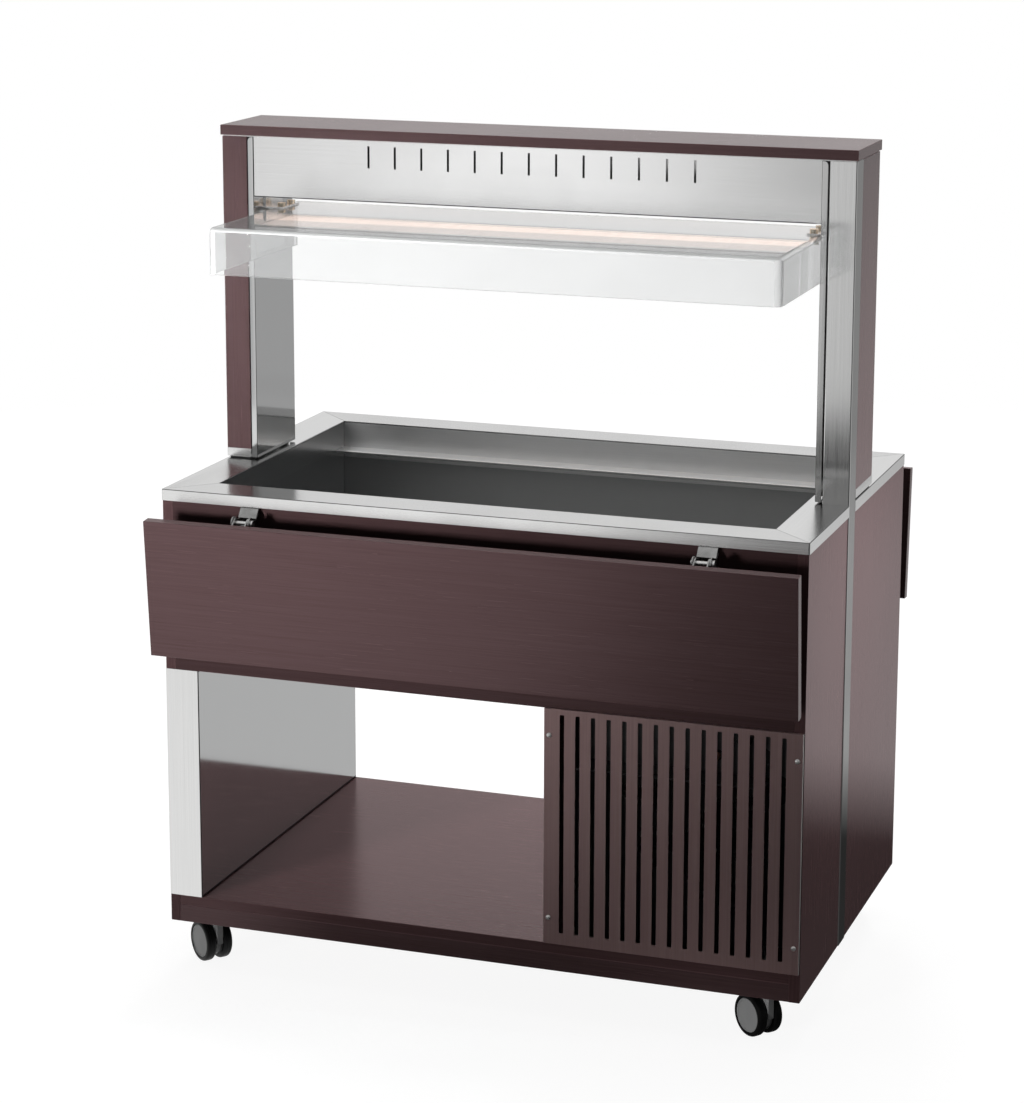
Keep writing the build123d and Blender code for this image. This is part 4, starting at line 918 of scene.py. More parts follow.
@dataclass
class Grilles:
    """Slotted pans, their screws, and the controls on the rear one."""

    pan_ease: float = 0.0003
    head_radius: float = 0.0045
    head_crown: float = 0.0023
    recess_length: float = 0.0042
    recess_width: float = 0.0009
    recess_depth: float = 0.0012
    scale_radius: float = 0.0185
    tick_count: int = 11
    tick_sweep: float = 270.0

    def build(self, bench: Bench) -> None:
        """Build the pans, the screws and the thermostat's scale."""
        # The front pan's flange sides are pale grey.
        self.pan(bench, "grille_front", BOOK.pale_flange)
        # Painted shade: the rear pan's flange sides are black.
        self.pan(bench, "grille_rear", BOOK.enamel)
        self.screws(bench)
        bench.eased("control_plate", self.pan_ease, BOOK.steel_x, BOOK.steel_edge)
        for node in ("power_switch", "light_switch", "thermostat_knob"):
            bench.eased(node, 0.0005, BOOK.black, BOOK.black)
        bench.eased("cable_gland", 0.0006, BOOK.black, BOOK.black)
        self.scale(bench)

    def pan(self, bench: Bench, node: str, side: Finish) -> None:
        """Build a slotted pan, with its own finish on the sides of its flanges.

        Args:
            bench: The bench.
            node: CAD node of the pan.
            side: Finish of the flanges' sides.
        """
        mesh = bench.copy(node)
        low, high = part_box(node)
        bench.ease(mesh, self.pan_ease)
        for face in mesh.faces:
            x = face.calc_center_median().x
            if abs(face.normal.x) > 0.9 and (x < low.x + 1e-4 or x > high.x - 1e-4):
                face.material_index = Face.BEND.value
        bench.piece(f"{node}_pan", mesh, node, (BOOK.coated, BOOK.coated_edge, side))

    def head(self, place: Matrix) -> bmesh.types.BMesh:
        """Return a pan-head screw with a cross recess.

        Args:
            place: Seat of the head, with Z pointing outward.

        Returns:
            The mesh.
        """
        mesh = bmesh.new()
        reach, width = self.recess_length / 2, self.recess_width / 2
        cross = [
            (width, width), (reach, width), (reach, -width), (width, -width), (width, -reach), (-width, -reach),
            (-width, -width), (-reach, -width), (-reach, width), (-width, width), (-width, reach), (width, reach),
        ]
        cross = list(reversed(cross))
        top = [mesh.verts.new((x, y, self.head_crown)) for x, y in cross]
        low = [mesh.verts.new((x * 0.8, y * 0.8, self.head_crown - self.recess_depth)) for x, y in cross]
        mesh.faces.new(low)
        rings = [top]
        for share, height in ((0.72, 0.93), (0.9, 0.72), (1.0, 0.35), (1.0, 0.0)):
            ring = []
            for x, y in cross:
                away = Vector((x, y, 0.0)).normalized() * self.head_radius * share
                ring.append(mesh.verts.new((away.x, away.y, self.head_crown * height)))
            rings.append(ring)
        count = len(cross)
        for inner, outer in [(low, top), *zip(rings, rings[1:])]:
            for step in range(count):
                after = (step + 1) % count
                mesh.faces.new((inner[step], inner[after], outer[after], outer[step]))
        bmesh.ops.recalc_face_normals(mesh, faces=mesh.faces)
        mesh.transform(place)
        return mesh

    def screws(self, bench: Bench) -> None:
        """Build the eight screw heads on their seats."""
        low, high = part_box("grille_screws")
        inset = self.head_radius
        heads = []
        for x in (low.x + inset, high.x - inset):
            for z in (low.z + inset, high.z - inset):
                for side, turn in ((-1.0, 20.0), (1.0, 65.0)):
                    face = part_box("grille_front")[0].y if side < 0 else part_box("grille_rear")[1].y
                    place = facing((x, face, z), (0.0, side, 0.0))
                    heads.append(self.head(place @ Matrix.Rotation(math.radians(turn + 900 * x), 4, "Z")))
        bench.piece("grille_screw_heads", join(heads), "grille_screws", (BOOK.shiny,))

    def scale(self, bench: Bench) -> None:
        """Build the ring of plain marks round the thermostat's knob."""
        low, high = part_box("thermostat_knob")
        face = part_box("control_plate")[1].y
        middle = ((low.x + high.x) / 2, face, (low.z + high.z) / 2)
        marks = []
        for tick in range(self.tick_count):
            turn = math.radians(-self.tick_sweep / 2 + self.tick_sweep * tick / (self.tick_count - 1))
            length = 0.004 if tick % 5 == 0 else 0.0026
            mark = block((-0.0004, self.scale_radius, -0.0001), (0.0004, self.scale_radius + length, 0.00015))
            mark.transform(facing(middle, (0.0, 1.0, 0.0)) @ Matrix.Rotation(turn, 4, "Z"))
            marks.append(mark)
        bench.piece("thermostat_scale", join(marks), "control_plate", (BOOK.tick,), stands_in=False)


@dataclass
class Counter:
    """Mitred steel counter, the well with its ledges, foam and drain."""

    rail_fold: float = 0.0012
    mitre: float = 0.0004
    rim: float = 0.0035
    nose: float = 0.002
    dark_corner_ease: float = 0.0014
    strainer_bar: float = 0.0016

    def build(self, bench: Bench) -> None:
        """Build rails and well brushed along their own length, and the drain."""
        self.rails(bench, BOOK.steel_x, self.lengthwise, "long_rails")
        self.rails(bench, BOOK.steel_y, self.crosswise, "end_rails")
        self.walls(bench, self.not_end_wall, "long_walls", (BOOK.well_x, BOOK.black, BOOK.well_low_shaded))
        # Painted shade: the end walls get darker copies of the steel above and below the ledges.
        self.walls(bench, self.end_wall, "end_walls", (BOOK.well_y_shaded, BOOK.black, BOOK.well_end_shaded))
        self.ledges(bench)
        bench.dress("well_insulation", BOOK.foam)
        bench.eased("drain_valve", 0.0005, BOOK.brass, BOOK.brass)
        bench.eased("drain_lever", 0.0008, BOOK.lever, BOOK.lever)
        self.strainer(bench)

    @staticmethod
    def lengthwise(middle: Vector) -> bool:
        """Tell whether a counter rail runs along X."""
        return abs(middle.y) > 0.2

    @staticmethod
    def crosswise(middle: Vector) -> bool:
        """Tell whether a counter rail runs along Y."""
        return abs(middle.y) <= 0.2

    @staticmethod
    def end_wall(middle: Vector) -> bool:
        """Tell whether a sheet of the well is an end wall."""
        return abs(middle.x) > 0.4

    @classmethod
    def not_end_wall(cls, middle: Vector) -> bool:
        """Tell whether a sheet of the well is its floor or a long wall."""
        return not cls.end_wall(middle)

    def rails(self, bench: Bench, finish: Finish, keep: Picker, tag: str) -> None:
        """Build counter rails with a folded outer edge painted dark as shade, and dark mitre joints.

        Args:
            bench: The bench.
            finish: Finish of the faces.
            keep: Test on the middle of each rail.
            tag: End of the piece's name.
        """
        mesh = bench.copy("counter_top", keep)
        # The fold along the rim is painted dark as shade; the mitres are dark joints.
        bench.fold(mesh, lambda edge: self.rim_ends(edge) == 2, self.rail_fold)
        bench.fold(mesh, lambda edge: self.rim_ends(edge) == 1, self.mitre)
        bench.piece(f"counter_top_{tag}", mesh, "counter_top", (finish, BOOK.steel_seam_and_edge_shade))

    def rim_ends(self, edge: bmesh.types.BMEdge) -> int:
        """Return how many ends of an edge on the counter's top lie at its outer rim, or 0 for any other edge."""
        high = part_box("counter_top")[1]
        ends = [vert.co for vert in edge.verts]
        if any(high.z - end.z > 1e-5 for end in ends):
            return 0
        return sum(min(high.x - abs(end.x), high.y - abs(end.y)) < self.rim for end in ends)

    def walls(self, bench: Bench, keep: Picker, tag: str, finishes: Sequence[Finish]) -> None:
        """Build sheets of the well, which are painted darker below the ledges as shade.

        Args:
            bench: The bench.
            keep: Test on the middle of each sheet.
            tag: End of the piece's name.
            finishes: Finishes above the ledges, of the softened corners, painted black as shade, and below the ledges,
                painted darker as shade.
        """
        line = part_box("well_ledges")[1].z
        mesh = bench.copy("well_tub", keep)
        geometry = mesh.verts[:] + mesh.edges[:] + mesh.faces[:]
        bmesh.ops.bisect_plane(mesh, geom=geometry, plane_co=(0.0, 0.0, line), plane_no=(0.0, 0.0, 1.0))
        bench.ease(mesh, self.dark_corner_ease)
        # Painted shade: faces below the ledges get the darker finish; the softened corners are black.
        for face in mesh.faces:
            if face.material_index == Face.MAIN.value and face.calc_center_median().z < line:
                face.material_index = Face.BEND.value
        bench.piece(f"well_tub_{tag}", mesh, "well_tub", finishes)

    def ledges(self, bench: Bench) -> None:
        """Build the pan ledges with a rounded nose and a lip painted darker as shade."""
        mesh = bench.copy("well_ledges")
        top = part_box("well_ledges")[1].z
        inner = min(abs(vert.co.y) for vert in mesh.verts)
        bench.fold(
            mesh,
            lambda edge: all(top - vert.co.z < 1e-5 and abs(vert.co.y) - inner < 1e-5 for vert in edge.verts),
            self.nose, 4,
        )
        # Painted shade: the lip facing the well gets the darker steel of the walls below the ledges.
        for face in mesh.faces:
            if abs(face.normal.y) > 0.95 and abs(face.calc_center_median().y) - inner < 1e-4:
                face.material_index = Face.BEND.value
        bench.piece("well_ledges_skin", mesh, "well_ledges", (BOOK.ledge, BOOK.ledge_nose, BOOK.well_low_shaded))

    def strainer(self, bench: Bench) -> None:
        """Build the cross of bars in the drain's mouth."""
        low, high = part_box("drain_lever")
        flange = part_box("drain_valve")
        middle = Vector(((flange[0].x + flange[1].x) / 2, (flange[0].y + flange[1].y) / 2, flange[1].z))
        x, top = low.x + 0.0095, middle.z
        y = flange[0].y + 0.024
        reach, half = 0.0109, self.strainer_bar / 2
        bars = [
            block((x - reach, y - half, top - 0.003), (x + reach, y + half, top - 0.0008), 0.0003),
            block((x - half, y - reach, top - 0.003), (x + half, y + reach, top - 0.0008), 0.0003),
        ]
        bench.piece("drain_strainer", join(bars), "drain_valve", (BOOK.shiny,), stands_in=False)


@dataclass
class CoolingUnit:
    """Tray, compressor, finned condenser, fan and copper lines behind the grilles."""

    fin_pitch: float = 0.0036
    fin_sheet: float = 0.0004
    header: float = 0.003
    tube_radius: float = 0.0045
    tube_rows: int = 6
    pipe_holes: Sequence[tuple[float, float]] = ((0.46, 0.51), (0.41, 0.48))
    sheet_middle: float = -0.277
    ring: Sequence[tuple[float, float]] = (
        (-0.0036, 0.0052), (-0.0036, 0.009), (-0.0016, 0.0096), (-0.0016, 0.0069),
        (0.0016, 0.0069), (0.0016, 0.0096), (0.0036, 0.009), (0.0036, 0.0052), (-0.0036, 0.0052),
    )

    def build(self, bench: Bench) -> None:
        """Build the finned condenser and dress the rest."""
        bench.dress("unit_tray", BOOK.zinc)
        bench.dress("compressor", BOOK.enamel)
        bench.dress("fan_frame", BOOK.enamel)
        bench.dress("fan_blades", BOOK.aluminium)
        bench.dress("copper_lines", BOOK.copper)
        self.condenser(bench)
        self.grommets(bench)

    def grommets(self, bench: Bench) -> None:
        """Build the rubber rings that close the sheet's holes round the pipes."""
        rings = [
            lathe(self.ring, 28, facing((x, self.sheet_middle, z), (0.0, 1.0, 0.0))) for x, z in self.pipe_holes
        ]
        bench.piece("pipe_grommets", join(rings), "fan_frame", (BOOK.rubber,), stands_in=False)

    def condenser(self, bench: Bench) -> None:
        """Build the condenser with closely set fins on its tubes."""
        low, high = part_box("condenser")
        count = int((high.x - low.x) / self.fin_pitch)
        parts = [
            block(low, (high.x, high.y, low.z + self.header), 0.0004),
            block((low.x, low.y, high.z - self.header), high, 0.0004),
        ]
        for fin in range(count + 1):
            x = low.x + self.fin_sheet + (high.x - low.x - 2 * self.fin_sheet) * fin / count
            half = self.fin_sheet / 2
            parts.append(block((x - half, low.y, low.z), (x + half, high.y, high.z)))
        middle = (low.y + high.y) / 2
        spread = (high.y - low.y) / 4
        for row in range(self.tube_rows):
            z = low.z + (high.z - low.z) * (row + 0.5) / self.tube_rows
            for y in (middle - spread, middle + spread):
                ends = [(0.0, 0.0), (0.0, self.tube_radius), (high.x - low.x, self.tube_radius), (high.x - low.x, 0.0)]
                parts.append(lathe(ends, 14, facing((low.x, y, z), (1.0, 0.0, 0.0))))
        bench.piece("condenser_fins", join(parts), "condenser", (BOOK.enamel,))


@dataclass
class Posts:
    """Timber, plinth and steel cover on each upright above the counter."""

    wood_ease: float = 0.0008
    sheet_ease: float = 0.0009
    foot_height: float = 0.003

    def build(self, bench: Bench) -> None:
        """Build the posts' pieces, with the left cover brighter than the right one as painted light and shade."""
        bench.eased("post_woods", self.wood_ease, BOOK.wood_z, BOOK.wood_edge)
        self.plinths(bench)
        # Painted light and shade: the left cover is a polished copy edged in black, the right a duller copy with dark
        # edges.
        bench.eased("post_covers", self.sheet_ease, BOOK.mirror, BOOK.black, self.on_left, "left")
        bench.eased("post_covers", self.sheet_ease, BOOK.cover, BOOK.steel_seam_and_edge_shade, self.on_right, "right")

    def plinths(self, bench: Bench) -> None:
        """Build the bright plinths on their set back feet, painted black as shade in the gap under each plinth."""
        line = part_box("post_plinths")[0].z + self.foot_height + 0.0001
        mesh = bench.copy("post_plinths")
        bench.ease(mesh, self.wood_ease)
        # Painted shade: faces below the top of the foot are black.
        for face in mesh.faces:
            if face.calc_center_median().z < line:
                face.material_index = Face.BEND.value
        bench.piece("post_plinths_skin", mesh, "post_plinths", (BOOK.steel_x, BOOK.steel_edge, BOOK.black))

    @staticmethod
    def on_left(middle: Vector) -> bool:
        """Tell whether a solid belongs to the left post."""
        return middle.x < 0

    @staticmethod
    def on_right(middle: Vector) -> bool:
        """Tell whether a solid belongs to the right post."""
        return middle.x >= 0


@dataclass
class Canopy:
    """Timber top, cap plate, slotted panels, light tray, lamp and its glass."""

    wood_ease: float = 0.001
    sheet_ease: float = 0.0003
    panel_ease: float = 0.0008
    panel_fold: float = 0.002

    def build(self, bench: Bench) -> None:
        """Build the canopy's pieces and part the lamp's tube from its holders."""
        bench.eased("top_board", self.wood_ease, BOOK.wood_x, BOOK.wood_edge)
        bench.eased("canopy_plate", self.sheet_ease, BOOK.steel_x, BOOK.steel_edge)
        self.panels(bench)
        self.tray(bench)
        self.lamp(bench)
        # The cover glows as painted light.
        bench.eased("lamp_cover", self.sheet_ease, BOOK.glass, BOOK.glass)

    def panels(self, bench: Bench) -> None:
        """Build the slotted panels in a brighter copy of the steel as a painted highlight, with the fold along their
        lower edge and all softened edges black as painted shade.
        """
        low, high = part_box("canopy_panels")
        mesh = bench.copy("canopy_panels")
        bench.fold(mesh, lambda edge: self.on_foot(edge, low, high), self.panel_fold)
        bench.ease(mesh, self.panel_ease)
        # Painted light: brighter steel on the faces, black as shade on the fold and edges.
        bench.piece("canopy_panels_skin", mesh, "canopy_panels", (BOOK.panel, BOOK.black))

    @staticmethod
    def on_foot(edge: bmesh.types.BMEdge, low: Vector, high: Vector) -> bool:
        """Tell whether an edge runs along the lower, outer edge of a panel."""
        ends = [vert.co for vert in edge.verts]
        return all(end.z - low.z < 1e-5 and min(end.y - low.y, high.y - end.y) < 1e-5 for end in ends)

    def tray(self, bench: Bench) -> None:
        """Build the light tray, whose underside gets a painted warm glow standing in for the lamp's light falling on
        it.
        """
        mesh = bench.copy("light_tray")
        bench.ease(mesh, self.sheet_ease)
        # Painted light: the faces looking down glow warm.
        for face in mesh.faces:
            if face.normal.z < -0.9:
                face.material_index = Face.BEND.value
        bench.piece("light_tray_skin", mesh, "light_tray", (BOOK.steel_x, BOOK.steel_edge, BOOK.spill))

    @staticmethod
    def lamp(bench: Bench) -> None:
        """Build the lamp with a glowing tube between pale holders."""
        low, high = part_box("lamp")
        mesh = bench.copy("lamp")
        holder = high.y - low.y
        for face in mesh.faces:
            middle = face.calc_center_median()
            in_tube = low.x + holder + 1e-4 < middle.x < high.x - holder - 1e-4
            face.material_index = Face.MAIN.value if in_tube else Face.EDGE.value
        bench.piece("lamp_tube", mesh, "lamp", (BOOK.glow, BOOK.ceramic))


@dataclass
class Guard:
    """Bent clear sheet on two brackets."""

    edge_ease: float = 0.0006
    bracket_ease: float = 0.0006
    bolt_ease: float = 0.0007

    def build(self, bench: Bench) -> None:
        """Build the sheet with its sawn edges, the brackets and the bolts."""
        low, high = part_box("sneeze_guard")
        mesh = bench.copy("sneeze_guard")
        self.mark_edges(mesh, low, high)
        bench.ease(mesh, self.edge_ease)
        bench.piece("sneeze_guard_sheet", mesh, "sneeze_guard", (BOOK.clear, BOOK.sawn, BOOK.bend))
        bench.eased("guard_brackets", self.bracket_ease, BOOK.steel_y, BOOK.steel_edge)
        # The bolts' yellow is a painted warm glint.
        bench.eased("guard_bolts", self.bolt_ease, BOOK.warm_glint_metal, BOOK.warm_glint_metal)

    @staticmethod
    def mark_edges(mesh: bmesh.types.BMesh, low: Vector, high: Vector) -> None:
        """Mark the sheet's bends, which get a whiter copy as a painted highlight, and the faces on its lower and rear
        edges for their own finishes.

        Args:
            mesh: The sheet.
            low: Its lowest corner.
            high: Its highest corner.
        """
        for face in mesh.faces:
            middle = face.calc_center_median()
            at_rim = middle.z < low.z + 1e-4 or middle.y > high.y - 1e-4
            # Bends get the whiter clear finish as a painted highlight.
            bent = max(abs(part) for part in face.normal) < 0.985
            face.material_index = Face.EDGE.value if at_rim else Face.BEND.value if bent else Face.MAIN.value


@dataclass
class Leaves:
    """Two folding leaves, their lugs, and the fixed hinge brackets with their pins."""

    wood_ease: float = 0.0006
    metal_ease: float = 0.0005

    def build(self, bench: Bench) -> None:
        """Build boards and hinges, with the lugs' and brackets' softened edges painted dark as shade."""
        for side in ("front", "rear"):
            bench.eased(f"leaf_{side}", self.wood_ease, BOOK.wood_x, BOOK.wood_edge)
            bench.eased(f"leaf_lugs_{side}", self.metal_ease, BOOK.hinge, BOOK.steel_seam_and_edge_shade)
        bench.eased("hinge_brackets", self.metal_ease, BOOK.hinge, BOOK.steel_seam_and_edge_shade)
        bench.eased("hinge_pins", self.metal_ease, BOOK.shiny, BOOK.shiny)


@dataclass
class Casters:
    """Four twin-wheel casters."""

    wheel_radius: float = 0.0375
    hub_radius: float = 0.03
    tyre_width: float = 0.018
    wheel_gap: float = 0.014
    tyre_fit: float = 0.0001
    bore: float = 0.00405
    cap: float = 0.004
    yaw: float = 142.0
    housing_ease: float = 0.0008
    steps: int = 72

    def build(self, bench: Bench) -> None:
        """Build the wheels of each corner and dress the plates and housings."""
        bench.dress("caster_plates", BOOK.zinc)
        for corner in ("front_left", "front_right", "rear_left", "rear_right"):
            bench.eased(f"caster_housing_{corner}", self.housing_ease, BOOK.grey, BOOK.grey)
            hubs, tyres = [], []
            for place in self.places(corner):
                hubs.append(self.hub(place))
                tyres.append(self.tyre(place))
            bench.piece(f"caster_wheels_{corner}", join(hubs), f"caster_hubs_{corner}", (BOOK.grey,))
            bench.piece(f"caster_treads_{corner}", join(tyres), f"caster_tyres_{corner}", (BOOK.rubber,))

    def places(self, corner: str) -> list[Matrix]:
        """Return the places of a corner's two wheels, each with Z pointing outward.

        Args:
            corner: Name of the corner.

        Returns:
            Two places on the wheels' middle.
        """
        low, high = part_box(f"caster_tyres_{corner}")
        middle = (low + high) / 2
        turn = math.radians(self.yaw)
        axle = Vector((-math.sin(turn), math.cos(turn), 0.0))
        return [facing(middle, side * axle) for side in (1.0, -1.0)]

    def hub(self, place: Matrix) -> bmesh.types.BMesh:
        """Return one hub: a rim, a shallow dish and a flat cap over the axle's end."""
        inside = self.wheel_gap / 2
        face = inside + self.tyre_width
        rim = self.hub_radius
        profile = [
            (face - self.cap, 0.0), (face - self.cap, self.bore), (inside, self.bore), (inside, rim - 0.0005),
            (inside + 0.0005, rim), (face - 0.0022, rim), (face - 0.0008, rim - 0.0008), (face - 0.0003, rim - 0.002),
            (face - 0.0003, rim - 0.0032), (face - 0.0012, rim - 0.0042), (face - 0.0013, rim - 0.006),
            (face - 0.0004, 0.012), (face - 0.0001, 0.005), (face, 0.0),
        ]
        return lathe(profile, self.steps, place)

    def tyre(self, place: Matrix) -> bmesh.types.BMesh:
        """Return one tyre with round shoulders and two fine moulding grooves."""
        inside = self.wheel_gap / 2
        outside = inside + self.tyre_width
        low, high = self.hub_radius + self.tyre_fit, self.wheel_radius
        shoulder = 0.005
        profile = [(inside, low), (inside, high - shoulder)]
        for step in range(1, 7):
            turn = math.radians(15 * step)
            profile.append((inside + shoulder * (1 - math.cos(turn)), high - shoulder * (1 - math.sin(turn))))
        for groove in (0.0065, 0.0115):
            start = inside + groove
            profile += [(start - 0.0004, high), (start, high - 0.0005), (start + 0.0004, high)]
        for step in range(0, 7):
            turn = math.radians(15 * step)
            profile.append((outside - shoulder * (1 - math.sin(turn + math.pi / 2)), 0.0))
            profile[-1] = (
                outside - shoulder + shoulder * math.sin(turn),
                high - shoulder + shoulder * math.cos(turn),
            )
        profile += [(outside, low), (inside, low)]
        return lathe(profile, self.steps, place)


# ---- studio ----------------------------------------------------------------


@dataclass
class Lamp:
    """One soft studio lamp."""

    name: str
    place: Place
    target: Place
    size: float
    power: float
    spread: float
    mirrored: bool = False

    def build(self) -> None:
        """Add the lamp, seen by no camera and in no reflection unless mirrored."""
        light = bpy.data.lights.new(self.name, "AREA")
        light.shape = "SQUARE"
        light.size = self.size
        light.energy = self.power
        light.spread = math.radians(self.spread)
        made = bpy.data.objects.new(self.name, light)
        made.matrix_world = facing(self.place, Vector(self.place) - Vector(self.target))
        made.visible_camera = False
        made.visible_glossy = self.mirrored
        made.visible_transmission = self.mirrored
        bpy.context.scene.collection.objects.link(made)


@dataclass
class Studio:
    """Pale floor, white surroundings, soft lamps and the camera."""

    floor_radius: float = 5.2
    front_floor: Sequence[tuple[float, float]] = (
        (0.0, 1.0), (0.4, 0.95), (0.46, 0.3), (0.52, 0.1), (0.8, 0.06),
    )
    back_floor: Sequence[tuple[float, float]] = (
        (0.0, 0.04), (0.14, 0.04), (0.24, 0.6), (0.6, 0.58), (0.9, 0.42),
    )
    # Painted shadows: dark discs in the floor's tone seen in reflections, standing in for the cart's shadow.
    shades: Sequence[tuple[float, float, float, float]] = ((0.0, -0.85, 0.45, 0.65), (-0.35, -4.3, 0.65, 0.85))
    front_wall: Sequence[tuple[float, float]] = (
        (0.2, 0.45), (0.256, 0.58), (0.29, 0.8), (0.31, 0.97), (0.325, 1.0), (0.342, 1.0),
        (0.356, 0.82), (0.37, 0.55), (0.385, 0.43), (0.45, 0.42), (0.6, 0.1),
    )
    yaw: float = 19.30
    pitch: float = 11.60
    roll: float = 0.12
    lens: float = 99.19
    shift: float = -0.12
    place: Place = (1.7116, -5.0582, 2.0758)

    def build(self) -> None:
        """Set up the studio."""
        scene = bpy.context.scene
        scene.view_settings.view_transform = "Standard"
        self.floor()
        self.surroundings()
        for lamp in (
            Lamp("key_lamp", (-2.0, -3.4, 0.8), (-0.36, -0.3, 1.06), 0.6, 11.8, 37.0),
            Lamp("fill_lamp", (3.2, -3.2, 2.6), (0.1, 0.0, 0.9), 2.4, 0.6, 120.0),
            Lamp("top_lamp", (-0.2, 0.3, 4.2), (0.0, 0.0, 0.9), 2.6, 22.0, 120.0),
            Lamp("side_lamp", (2.9, 0.2, 2.6), (0.58, 0.0, 0.95), 0.6, 2.1, 17.0),
            Lamp("rear_lamp", (-0.5, 3.0, 1.5), (-0.2, 0.0, 0.3), 0.8, 8.0, 60.0),
            Lamp("low_lamp", (-1.2, -3.4, 0.3), (0.5, -0.34, -0.02), 0.3, 0.2, 9.0),
        ):
            lamp.build()
        self.camera()

    def floor(self) -> None:
        """Build the floor: white to the eye with the cart's shadow, and in reflections a painted tone with painted
        shadows of the cart.
        """
        mesh = bmesh.new()
        bmesh.ops.create_circle(mesh, cap_ends=True, segments=96, radius=self.floor_radius)
        data = bpy.data.meshes.new("studio_floor")
        mesh.to_mesh(data)
        mesh.free()
        paint = bpy.data.materials.new("studio_floor")
        paint.use_nodes = True
        paint.node_tree.nodes.clear()
        desk = Desk(paint.node_tree)
        where = desk.node("ShaderNodeTexCoord").outputs["Object"]
        axes = desk.node("ShaderNodeSeparateXYZ", {0: where}).outputs
        reach = desk.node("ShaderNodeVectorMath", {0: where}, operation="LENGTH").outputs["Value"]
        matt = desk.node("ShaderNodeBsdfDiffuse", {"Color": (0.3, 0.3, 0.3, 1.0)})
        eye = desk.node("ShaderNodeBsdfDiffuse", {"Color": (0.18, 0.18, 0.18, 1.0)})
        white = desk.node("ShaderNodeEmission", {"Strength": desk.remap(reach, 0.7, 2.0, 0.91, 1.0)})
        lit = desk.node("ShaderNodeAddShader")
        desk.feed(lit.inputs[0], eye.outputs[0])
        desk.feed(lit.inputs[1], white.outputs[0])
        front = self.ramp(desk, self.bearing(desk, axes), self.front_floor)
        back = self.ramp(desk, desk.remap(axes[1], 0.0, self.floor_radius, 0.0, 1.0), self.back_floor)
        back = desk.mix(desk.remap(axes[0], 0.3, 0.6, 0.0, 1.0), (0.58, 0.58, 0.58), back)
        tone = desk.mix(desk.remap(axes[1], -0.5, 0.5, 0.0, 1.0), front, back)
        # Painted shadows on the floor as reflections see it.
        for x, y, core, rim in self.shades:
            away = desk.node("ShaderNodeVectorMath", {0: where, 1: (x, y, 0.0)}, operation="DISTANCE")
            tone = desk.mix(desk.remap(away.outputs["Value"], core, rim, 0.0, 1.0), (0.03, 0.03, 0.03), tone)
        sheen = desk.node("ShaderNodeEmission", {"Color": tone, "Strength": 1.0})
        self.choose(desk, "ShaderNodeOutputMaterial", matt, sheen, lit)
        data.materials.append(paint)
        made = bpy.data.objects.new("studio_floor", data)
        bpy.context.scene.collection.objects.link(made)

    def surroundings(self) -> None:
        """Set up the world: white to the eye, toned in reflections, soft elsewhere."""
        world = bpy.data.worlds.new("studio")
        bpy.context.scene.world = world
        world.use_nodes = True
        world.node_tree.nodes.clear()
        desk = Desk(world.node_tree)
        where = desk.node("ShaderNodeTexCoord").outputs["Generated"]
        axes = desk.node("ShaderNodeSeparateXYZ", {0: where}).outputs
        front = self.ramp(desk, self.bearing(desk, axes), self.front_wall)
        front = desk.mix(desk.remap(axes[2], 0.02, 0.12, 0.0, 1.0), front, (0.17, 0.17, 0.17))
        back = desk.mix(desk.remap(axes[2], -0.1, 0.08, 0.0, 1.0), (0.44, 0.44, 0.44), (0.74, 0.74, 0.74))
        flag = desk.maths("MULTIPLY", desk.remap(axes[0], 0.08, 0.25, 0.0, 1.0), desk.remap(axes[2], 0.02, 0.1, 0.0, 1.0))
        back = desk.mix(flag, back, (0.24, 0.24, 0.24))
        tone = desk.mix(desk.remap(axes[1], -0.3, 0.3, 0.0, 1.0), front, back)
        tone = desk.mix(desk.remap(axes[2], 0.3, 0.6, 0.0, 1.0), tone, (0.6, 0.6, 0.6))
        around = desk.mix(desk.remap(axes[1], -0.2, 0.4, 0.0, 1.0), (0.1, 0.1, 0.1), (0.5, 0.5, 0.5))
        soft = desk.node("ShaderNodeBackground", {"Color": around, "Strength": 1.0})
        shown = desk.node("ShaderNodeBackground", {"Color": tone, "Strength": 1.0})
        white = desk.node("ShaderNodeBackground", {"Color": (1.0, 1.0, 1.0, 1.0), "Strength": 1.0})
        self.choose(desk, "ShaderNodeOutputWorld", soft, shown, white)

    @staticmethod
    def bearing(desk: Desk, axes: Any) -> bpy.types.NodeSocket:
        """Return how far to the side a place or direction lies, as its share of the depth."""
        depth = desk.maths("MAXIMUM", desk.maths("ABSOLUTE", axes[1], 0.0), 0.001)
        return desk.remap(desk.maths("DIVIDE", axes[0], depth), -1.0, 1.0, 0.0, 1.0)

    @staticmethod
    def ramp(desk: Desk, value: Any, stops: Sequence[tuple[float, float]]) -> bpy.types.NodeSocket:
        """Return greys read from a list of stops.

        Args:
            desk: The tree's desk.
            value: Socket to read.
            stops: Pairs of position and grey level.

        Returns:
            The grey.
        """
        made = desk.node("ShaderNodeValToRGB", {"Fac": value})
        marks = made.color_ramp.elements
        while len(marks) < len(stops):
            marks.new(1.0)
        for mark, (position, grey) in zip(marks, stops):
            mark.position = position
            mark.color = (grey, grey, grey, 1.0)
        return made.outputs[0]

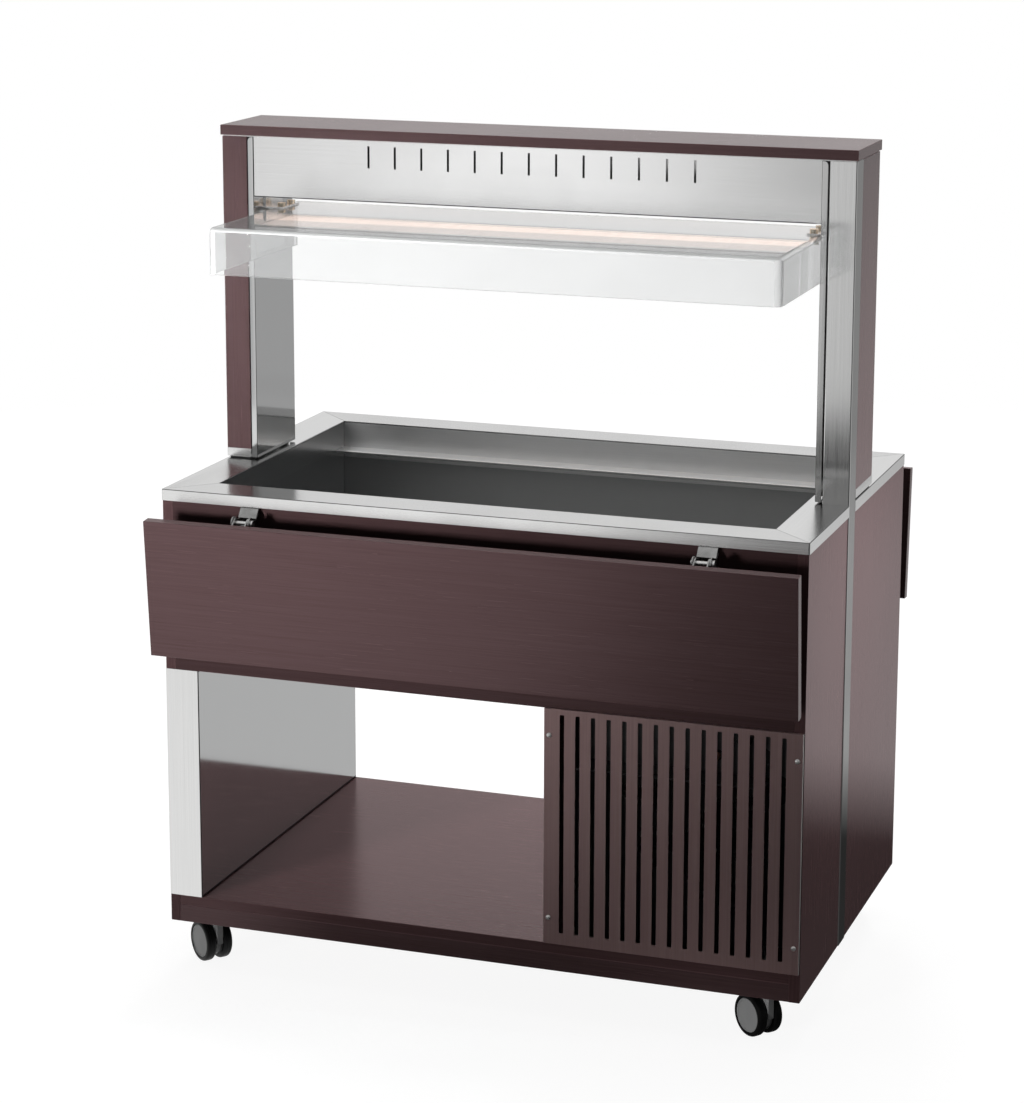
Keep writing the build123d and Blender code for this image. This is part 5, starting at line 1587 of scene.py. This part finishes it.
    @staticmethod
    def choose(desk: Desk, output: str, soft: Any, mirrored: Any, shown: Any) -> None:
        """Give each kind of ray its own shader.

        Args:
            desk: The tree's desk.
            output: Kind of the output node.
            soft: Shader node for scattered light.
            mirrored: Shader node for reflections.
            shown: Shader node for the eye, also through clear sheets.
        """
        path = desk.node("ShaderNodeLightPath")
        seen = desk.maths("MAXIMUM", path.outputs["Is Camera Ray"], path.outputs["Is Transmission Ray"])
        result = soft.outputs[0]
        for amount, shader in ((path.outputs["Is Glossy Ray"], mirrored), (seen, shown)):
            joined = desk.node("ShaderNodeMixShader")
            desk.feed(joined.inputs[0], amount)
            desk.feed(joined.inputs[1], result)
            desk.feed(joined.inputs[2], shader.outputs[0])
            result = joined.outputs[0]
        desk.node(output, {"Surface": result})

    def camera(self) -> None:
        """Add the camera at the photograph's view."""
        yaw, pitch, roll = (math.radians(angle) for angle in (self.yaw, self.pitch, self.roll))
        level = Vector((math.cos(yaw), math.sin(yaw), 0.0))
        ahead = Vector((-math.sin(yaw) * math.cos(pitch), math.cos(yaw) * math.cos(pitch), -math.sin(pitch)))
        above = level.cross(ahead)
        right = math.cos(roll) * level + math.sin(roll) * above
        up = math.cos(roll) * above - math.sin(roll) * level
        data = bpy.data.cameras.new("photo_view")
        data.lens = self.lens
        data.sensor_width = 36.0
        data.sensor_fit = "AUTO"
        data.shift_y = self.shift
        made = bpy.data.objects.new("photo_view", data)
        turn = Matrix((right, up, -ahead)).transposed().to_4x4()
        made.matrix_world = Matrix.Translation(self.place) @ turn
        bpy.context.scene.collection.objects.link(made)
        bpy.context.scene.camera = made


def main() -> None:
    """Load the frame, build every sub-assembly and the studio."""
    logging.basicConfig(level=logging.INFO, format="%(message)s")
    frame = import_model()
    bench = Bench(frame)
    for part in (
        Cabinet(), Grilles(), Counter(), CoolingUnit(), Posts(), Canopy(), Guard(), Leaves(), Casters(),
    ):
        LOG.info("building %s", type(part).__name__)
        part.build(bench)
    Studio().build()
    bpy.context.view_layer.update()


if __name__ == "__main__":
    main()
